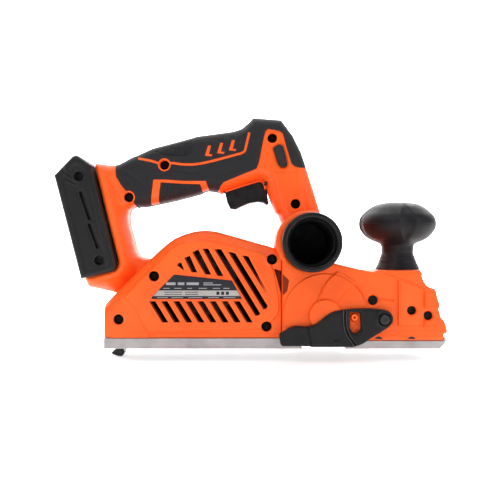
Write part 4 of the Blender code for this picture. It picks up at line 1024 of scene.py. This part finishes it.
# ------------------------------------------------------- turned black parts ---
def chip_outlet():
    body = [(18.9, -31.0), (21.0, -30.2), (21.1, -43.8), (24.1, -43.8), (24.2, -46.5), (23.5, -47.2), (23.5, -48.6),
            (24.2, -49.3), (24.4, -66.6), (24.55, -68.0), (24.6, -70.4), (24.0, -71.5), (22.8, -72.0), (21.2, -71.9),
            (20.3, -71.2), (19.6, -69.6), (19.0, -66.0), (18.9, -60.0)]
    place(lathe("outlet_ring", rounded_profile(body + [body[0]], 0.5, 3)[:-1], DUCT, "Y", [BLACK], 128, closed=True),
          "chassis", "chip_outlet", slot="black_plastic")
    # A near-black liner down the duct, as painted shade inside the outlet.
    liner = [(18.75, -66.0), (18.5, -30.5), (18.5, 20.0), (0.0, 20.0), (0.0, 20.6), (18.9, 20.6), (18.88, -31.0),
             (18.95, -66.0)]
    place(lathe("outlet_liner", liner, DUCT, "Y", [PAINTED_SHADE_BLACK], 72, closed=True), "chassis")


def duct_skin():
    """The orange barrel round the chip duct, with its rounded ends and a flat rim."""
    prof = [(23.0, -42.6), (23.0, -43.3), (24.6, -43.3), (26.3, -42.6), (27.3, -40.8), (27.35, 0.0), (27.35, 36.2),
            (26.8, 37.8), (25.6, 38.3), (0.0, 38.35), (0.0, 37.9), (25.4, 37.9), (26.5, 36.6), (26.8, 0.0),
            (26.8, -40.4), (25.6, -42.3)]
    place(lathe("duct_barrel", rounded_profile(prof + [prof[0]], 0.6, 3)[:-1], BARREL, "Y", [ORANGE], 144, closed=True),
          "chassis", slot="housing_orange")


def knob():
    outer = spline([(0.0, 126.6), (6.0, 126.45), (11.6, 126.0), (16.5, 125.05), (20.8, 123.5), (24.8, 121.2), (28.4, 118.0),
                    (31.9, 114.4), (33.7, 110.8), (34.2, 107.3)], 4)
    lower = spline([(34.2, 107.1), (33.7, 103.8), (32.0, 100.4), (29.3, 97.0), (25.7, 94.0), (20.9, 91.6), (16.9, 90.0),
                    (15.3, 89.0), (14.6, 87.6), (14.3, 86.0), (14.1, 84.0), (14.0, 81.2)], 4)
    line = arr([(33.95, 107.25), (33.85, 107.2), (33.95, 107.15)])
    inside_line = arr([(13.2, 81.15), (5.6, 81.15), (5.6, 100.0), (0.0, 100.0)])
    profile = np.concatenate([outer, line, lower, inside_line])
    count = 4

    def flute(a, r, h):
        if r < 6 or abs(h - 108.6) > 16.4:
            return r
        share = 1 - ((h - 108.6) / 16.4) ** 2
        width = math.radians(12.5) * share ** 0.6
        phase = (a - math.radians(-83.5) + math.pi / count) % (2 * math.pi / count) - math.pi / count
        if abs(phase) >= width:
            # A soft swelling beside each flute.
            swell = max(0.0, 1 - (abs(phase) - width) / math.radians(6.0))
            return r + 0.15 * share * swell * swell if r < 33.6 else r
        return r - 2.3 * share * (1 - (phase / width) ** 2)

    place(lathe("knob_grip", profile, (KNOB_X, 0.0), "Z", [KNOB_M], 360, angle=20.0, radial=flute),
          "depth_knob", "depth_knob", slot="knob_plastic")
    cone = [(13.9, 81.4), (14.3, 80.2), (14.75, 79.4), (14.55, 79.1), (14.9, 78.5), (15.7, 76.9), (15.5, 76.5), (16.0, 75.5),
            (16.9, 73.6), (16.75, 73.2), (17.5, 71.6), (18.4, 69.8), (19.2, 68.3), (19.6, 67.6), (19.95, 66.75),
            (5.5, 66.75), (5.5, 81.4)]
    place(lathe("knob_cone", rounded_profile(cone + [cone[0]], 0.18, 2)[:-1], (KNOB_X, 0.0), "Z", [KNOB_M], 144,
                closed=True), "depth_knob", "knob_skirt", slot="knob_plastic")


def pedestal():
    """The round seat that the knob stands on, and the soft corners of its post."""
    prof = [(12.0, 66.35), (20.6, 66.35), (21.1, 66.1), (21.3, 65.5), (21.2, 64.6), (20.7, 63.9), (20.6, 53.0), (12.0, 53.0)]
    place(lathe("knob_seat", prof, (170.8, 0.0), "Z", [ORANGE], 96, closed=True), "chassis", slot="housing_orange")


# ------------------------------------------------------------ moving plates ---
GUARD = fillet([(64.1, 14.0), (63.8, 11.0), (65.0, 4.4), (66.7, 3.2), (89.0, 3.2), (90.9, 2.6), (126.7, 2.6), (133.7, 5.1),
                (142.0, 10.8), (151.6, 16.5), (156.7, 20.4), (159.3, 24.9), (158.9, 28.7), (156.1, 32.5), (151.6, 34.1),
                (140.1, 35.0), (126.1, 34.8), (116.5, 33.8), (108.8, 32.2), (103.7, 29.4), (98.6, 24.9), (94.2, 21.7),
                (88.4, 19.8), (76.9, 20.4), (73.0, 19.1), (68.5, 16.5)], 2.4, 4)
WINDOW = fillet([(122.9, 31.6), (122.9, 18.6), (125.4, 14.6), (128.4, 14.2), (132.0, 17.2), (131.6, 31.6)], 1.2, 3)


def guard():
    feats = [feature(strip(spline([(85.0, 21.0), (85.6, 14.0), (87.4, 7.0), (88.4, 2.0)], 4), 1.0), 0.35, 0.4, step=0.7),
             feature(strip(spline([(88.0, 21.0), (88.4, 14.0), (90.2, 7.0), (91.3, 1.6)], 4), 0.8), -0.5, 0.4, step=0.7),
             feature([(60.0, 25.0), (60.0, 0.0), (85.0, 0.0), (84.6, 12.0), (83.9, 25.0)], -0.7, 1.0, step=1.0),
             feature(strip(spline([(117.6, 35.0), (117.3, 24.0), (119.2, 14.0), (125.2, 5.0), (127.0, 3.0)], 5), 1.0), 1.0,
                     0.45, step=0.7),
             feature(strip(spline([(120.1, 35.4), (119.9, 24.0), (121.9, 14.4), (128.0, 5.6), (130.0, 3.4)], 5), 0.9), 1.0,
                     0.45, step=0.7),
             feature(np.concatenate([spline([(118.8, 36.0), (118.6, 24.0), (120.5, 14.2), (126.6, 5.3), (128.4, 2.0)], 5),
                                     arr([(165.0, 2.0), (165.0, 40.0)])]), -0.6, 0.6, step=0.9),
             feature(fillet([(109.5, 9.2), (113.5, 9.2), (113.5, 7.6), (109.5, 7.6)], 0.5), -0.8, 0.5, step=0.6),
             feature(circle((151.9, 25.6), 7.4, 40), 0.45, 0.6, step=0.8),
             feature(circle((151.9, 25.6), 5.2, 36), -0.9, 0.5, step=0.7)]
    # The crests of the two ridges carry a paler painted highlight.
    feats.append(feature(strip(spline([(117.6, 35.0), (117.3, 24.0), (119.2, 14.0), (125.2, 5.0), (127.0, 3.0)], 5), 0.5), 0.0,
                         0.2, paint=1, step=0.6))
    feats.append(feature(strip(spline([(120.1, 35.4), (119.9, 24.0), (121.9, 14.4), (128.0, 5.6), (130.0, 3.4)], 5), 0.4), 0.0,
                         0.2, paint=1, step=0.6))
    obj = relief("guard_plate", GUARD, 52.9, -1, holes=[WINDOW, circle((151.9, 25.6), 3.35, 24)], features=feats,
                 spacing=1.1, edge_r=1.6, edge_low=51.3, edge_step=0.8, inner=48.15, shell=0.0, back=48.15, rows=2,
                 mats=(BLACK, RIDGE_HIGHLIGHT))
    place(obj, "side_guard", "side_guard", slot="black_plastic")


def label():
    outline = arr([(-24.8, 63.0), (-43.8, 43.8), (-43.8, 42.4), (32.7, 42.4), (24.1, 57.9)])
    band = [(-42.4, 44.9), (31.0, 44.9), (28.4, 49.6), (-37.8, 49.6)]
    feats = [feature(band, 0.0, 0.2, paint=1, step=1.0)]
    # Plain bars and blocks stand where a maker would print a rating.
    for x, w in ((-33.0, 15.0), (-15.5, 11.0)):
        for z in (46.0, 47.9):
            feats.append(feature(rect(x, x + w, z, z + 0.55), 0.0, 0.2, paint=3, step=0.8))
    for x in (11.0, 15.0, 19.0):
        feats.append(feature(rect(x, x + 2.6, 45.9, 48.7), 0.0, 0.2, paint=3, step=0.8))
    for x, w in ((-31.5, 8.0), (-21.6, 5.6), (-14.2, 10.4)):
        feats.append(feature(rect(x, x + w, 54.2, 56.4), 0.0, 0.2, paint=2, step=0.8))
    for x, w, z in ((0.0, 8.0, 55.6), (0.0, 15.0, 54.0)):
        feats.append(feature(rect(x, x + w, z, z + 0.7), 0.0, 0.2, paint=2, step=0.8))
    for x, w in ((-34.0, 5.5), (-24.5, 6.0), (-13.5, 4.0), (-4.0, 7.0), (8.0, 6.0), (17.0, 5.0)):
        feats.append(feature(rect(x, x + w, 51.1, 51.7), 0.0, 0.2, paint=2, step=0.8))
    for x, w in ((-39.0, 9.0), (-27.0, 10.0), (-13.0, 12.0), (4.0, 9.0), (17.0, 10.0)):
        feats.append(feature(rect(x, x + w, 43.35, 43.85), 0.0, 0.2, paint=2, step=0.8))
    obj = relief("label_plate", fillet(outline, 0.6, 3), 43.78, -1, features=feats, spacing=1.6, edge_r=0.16,
                 edge_low=43.66, edge_step=1.0, inner=43.32, shell=0.0, back=43.32, rows=1,
                 mats=(LABEL, LABEL_SILVER, LABEL_INK, LABEL))
    place(obj, "chassis", "rating_label", slot="label_foil")


SHOE = arr([(-128.4, 147.9), (-105.5, 59.2), (-98.9, 60.4), (-77.2, 65.8), (-75.5, 68.4), (-75.5, 71.1),
            (-96.0, 153.9), (-96.1, 156.3), (-108.3, 164.8), (-110.5, 165.0), (-112.6, 164.2)])


def shoe_side(side):
    name = "shoe_side_right" if side < 0 else "shoe_side_left"
    feats = []
    holes = []
    # A lowered field with a raised frame all round, and three curved grip lines at its top.
    feats.append(feature(fillet([(-121.5, 144.5), (-101.8, 67.5), (-83.5, 70.5), (-83.4, 73.5), (-101.0, 151.5),
                                 (-110.0, 158.5)], 2.5), -0.5, 1.2, step=1.1))
    for k in range(3):
        o = 4.2 * k
        line = spline([(-119.5 + 0.6 * k, 154.0 - 1.25 * o), (-116.0, 150.2 - o), (-110.5, 147.6 - o), (-106.2, 147.4 - o)], 5)
        feats.append(feature(strip(line, 1.5), 0.8, 0.8, step=0.9))
    if side < 0:
        holes = [circle((-107.0, 146.8), 4.0, 30), circle((-89.7, 74.8), 4.0, 30),
                 fillet([(-106.9, 133.0), (-98.7, 109.0), (-96.5, 109.7), (-104.7, 133.7)], 0.6),
                 fillet([(-99.5, 105.9), (-91.7, 84.7), (-89.6, 85.4), (-97.4, 106.6)], 0.6)]
        feats.append(feature(circle((-107.0, 146.8), 5.6, 36), 0.4, 0.6, step=0.8))
        feats.append(feature(circle((-89.7, 74.8), 5.6, 36), 0.4, 0.6, step=0.8))
    outline = fillet(SHOE, [2, 1.5, 1, 1.5, 1, 1, 1, 1, 1.5, 1, 1.5], 3)
    shrink = resample(ccw(outline), 1.0)
    shrink = shrink + normals_in(shrink) * 0.45
    obj = relief(name, shrink, 35.7, side, holes=holes, features=feats, spacing=1.3, edge_r=2.6, edge_low=33.6,
                 edge_step=1.0, inner=33.2, shell=0.0, back=33.0, rows=1, mats=(SHOE_M,))
    place(obj, "chassis", slot="black_plastic")


# ----------------------------------------------- carried-over CAD nodes -------
def keep(node, mat, bevel=0.0, segments=2, angle=40.0):
    obj = NODES[node]
    obj.data.materials.clear()
    obj.data.materials.append(mat)
    if bevel:
        mod = obj.modifiers.new("Edges", "BEVEL")
        mod.width = bevel * MM
        mod.segments = segments
        mod.limit_method = "ANGLE"
        mod.angle_limit = math.radians(angle)
        mod.harden_normals = False
    return obj


KEPT = {"battery_shoe_right": (SHOE_M, 0.3), "battery_shoe_left": (SHOE_M, 0.3), "terminal_block": (BLACK, 0.25),
        "terminal_1": (BRASS, 0.12), "terminal_2": (BRASS, 0.12), "terminal_3": (BRASS, 0.12), "main_frame": (ORANGE, 0.0),
        "drum_side_plate": (SOLE, 0.3), "rear_sole": (SOLE, 0.35), "front_shoe": (SOLE, 0.3), "depth_screw": (STEEL, 0.2),
        "depth_spring": (SPRING, 0.0), "drum": (DRUM_M, 0.25), "blade_1": (BLADE, 0.08), "blade_2": (BLADE, 0.08),
        "blade_clamp_1": (DRUM_M, 0.2), "blade_clamp_2": (DRUM_M, 0.2), "drum_bearing_right": (STEEL, 0.15),
        "drum_bearing_left": (STEEL, 0.15), "drum_pulley": (BLACK, 0.25), "drive_belt": (BELT, 0.2),
        "motor_pulley": (STEEL, 0.2), "rotor": (COPPER, 0.3), "stator": (BLACK_STEEL, 0.3), "cooling_fan": (BLACK, 0.2),
        "motor_bearing_right": (STEEL, 0.15), "motor_bearing_left": (STEEL, 0.15), "controller_board": (BOARD, 0.1),
        "switch_body": (BLACK, 0.3), "trigger": (BLACK, 0.8), "trigger_pin": (BLACK, 0.12), "trigger_spring": (SPRING, 0.0),
        "lock_off_button": (GRIP, 0.7), "lock_spring": (SPRING, 0.0), "guard_pivot_screw": (BLACK_STEEL, 0.3),
        "guard_spring": (SPRING, 0.0), "foot": (BLACK, 0.6), "foot_pin": (STEEL, 0.12), "foot_spring": (SPRING, 0.0),
        "cover_screw_1": (BLACK_STEEL, 0.2), "cover_screw_2": (BLACK_STEEL, 0.2), "cover_screw_3": (BLACK_STEEL, 0.2)}
# The housing screws at the well bottoms get their black finish darkened further as painted shade.
for i in range(8):
    KEPT[f"housing_screw_{i + 1}"] = (SCREW_BLACK_SHADED, 0.2)
for node, (mat, width) in KEPT.items():
    keep(node, mat, width)

for side in (-1, 1):
    casing(side)
    handle(side)
    grip(side)
    frame_side(side)
    shoe_side(side)
place(recess_star("guard_screw_recess", (151.9, 25.6), -54.23, -1, 1.9, 0.3, PAINTED_SHADE_BLACK), "chassis")
cover()
chip_outlet()
duct_skin()
knob()
pedestal()
guard()
label()
for n, (c, r, deep) in enumerate([((175.8, 32.8), 3.72, -39.75), ((189.6, 28.4), 3.72, -39.75),
                                  ((143.1, 41.4), 4.02, -39.75)]):
    bore_liner(f"fence_bore_{n + 1}", c, r, -43.4, deep)


# ------------------------------------------------------------ stage, camera ---
def stage_plane():
    """A pale floor that curves up into the backdrop."""
    pts = [(-1.6, -0.0112), (1.1, -0.0112)]
    radius = 0.6
    for k in range(1, 17):
        t = math.pi / 2 * k / 16
        pts.append((1.1 + radius * math.sin(t), -0.0112 + radius * (1 - math.cos(t))))
    pts.append((1.7, 2.6))
    verts, faces = [], []
    for x in (-3.0, 3.0):
        verts += [(x, y, z) for y, z in pts]
    n = len(pts)
    for k in range(n - 1):
        faces.append([k, n + k, n + k + 1, k + 1])
    mesh = bpy.data.meshes.new("sweep")
    mesh.from_pydata(verts, [], faces)
    mesh.shade_smooth()
    obj = bpy.data.objects.new("sweep", mesh)
    scene.collection.objects.link(obj)
    mat, tree, shader = _mat("sweep_paper")
    tone = _ramp(tree, _noise(tree, 3.0, 2.0).outputs["Fac"], [(0.3, (0.93, 0.93, 0.93)), (0.7, (0.95, 0.95, 0.95))])
    tree.links.new(tone.outputs["Color"], shader.inputs["Base Color"])
    shader.inputs["Roughness"].default_value = 0.9
    shader.inputs["Specular IOR Level"].default_value = 0.1
    tree.links.new(tone.outputs["Color"], shader.inputs["Emission Color"])
    shader.inputs["Emission Strength"].default_value = 0.5
    mesh.materials.append(mat)


stage_plane()


def area(name, place_at, target, size, power, colour=(1, 1, 1)):
    data = bpy.data.lights.new(name, "AREA")
    data.shape = "RECTANGLE"
    data.size, data.size_y = size
    data.energy = power
    data.color = colour
    lamp = bpy.data.objects.new(name, data)
    scene.collection.objects.link(lamp)
    lamp.location = place_at
    lamp.rotation_euler = (Vector(target) - Vector(place_at)).to_track_quat("-Z", "Y").to_euler()
    return lamp


area("key", (-0.55, -1.15, 1.15), (0.04, 0.0, 0.08), (0.8, 0.6), 7.6)
area("fill", (1.15, -0.75, 0.5), (0.06, 0.0, 0.1), (0.9, 1.2), 5.0)
area("top", (0.1, 0.15, 1.5), (0.04, 0.0, 0.05), (1.4, 1.0), 11.5)
area("back", (0.2, 1.0, 1.2), (0.1, 1.6, 0.4), (2.6, 1.2), 62.0)
area("rim", (-0.9, 0.55, 0.7), (0.0, 0.0, 0.1), (0.6, 0.9), 7.0)
world = bpy.data.worlds.new("studio")
world.use_nodes = True
world.node_tree.nodes["Background"].inputs["Color"].default_value = (1, 1, 1, 1)
world.node_tree.nodes["Background"].inputs["Strength"].default_value = 0.22
scene.world = world

camera = bpy.data.cameras.new("camera")
camera.lens = 60.2
camera.sensor_width = 36.0
camera.clip_start = 0.01
camera.clip_end = 20.0
eye = bpy.data.objects.new("camera", camera)
scene.collection.objects.link(eye)
eye.location = (0.0394, -0.750, 0.0838)
eye.rotation_euler = (math.pi / 2, 0, 0)
scene.camera = eye
scene.view_settings.view_transform = "Standard"
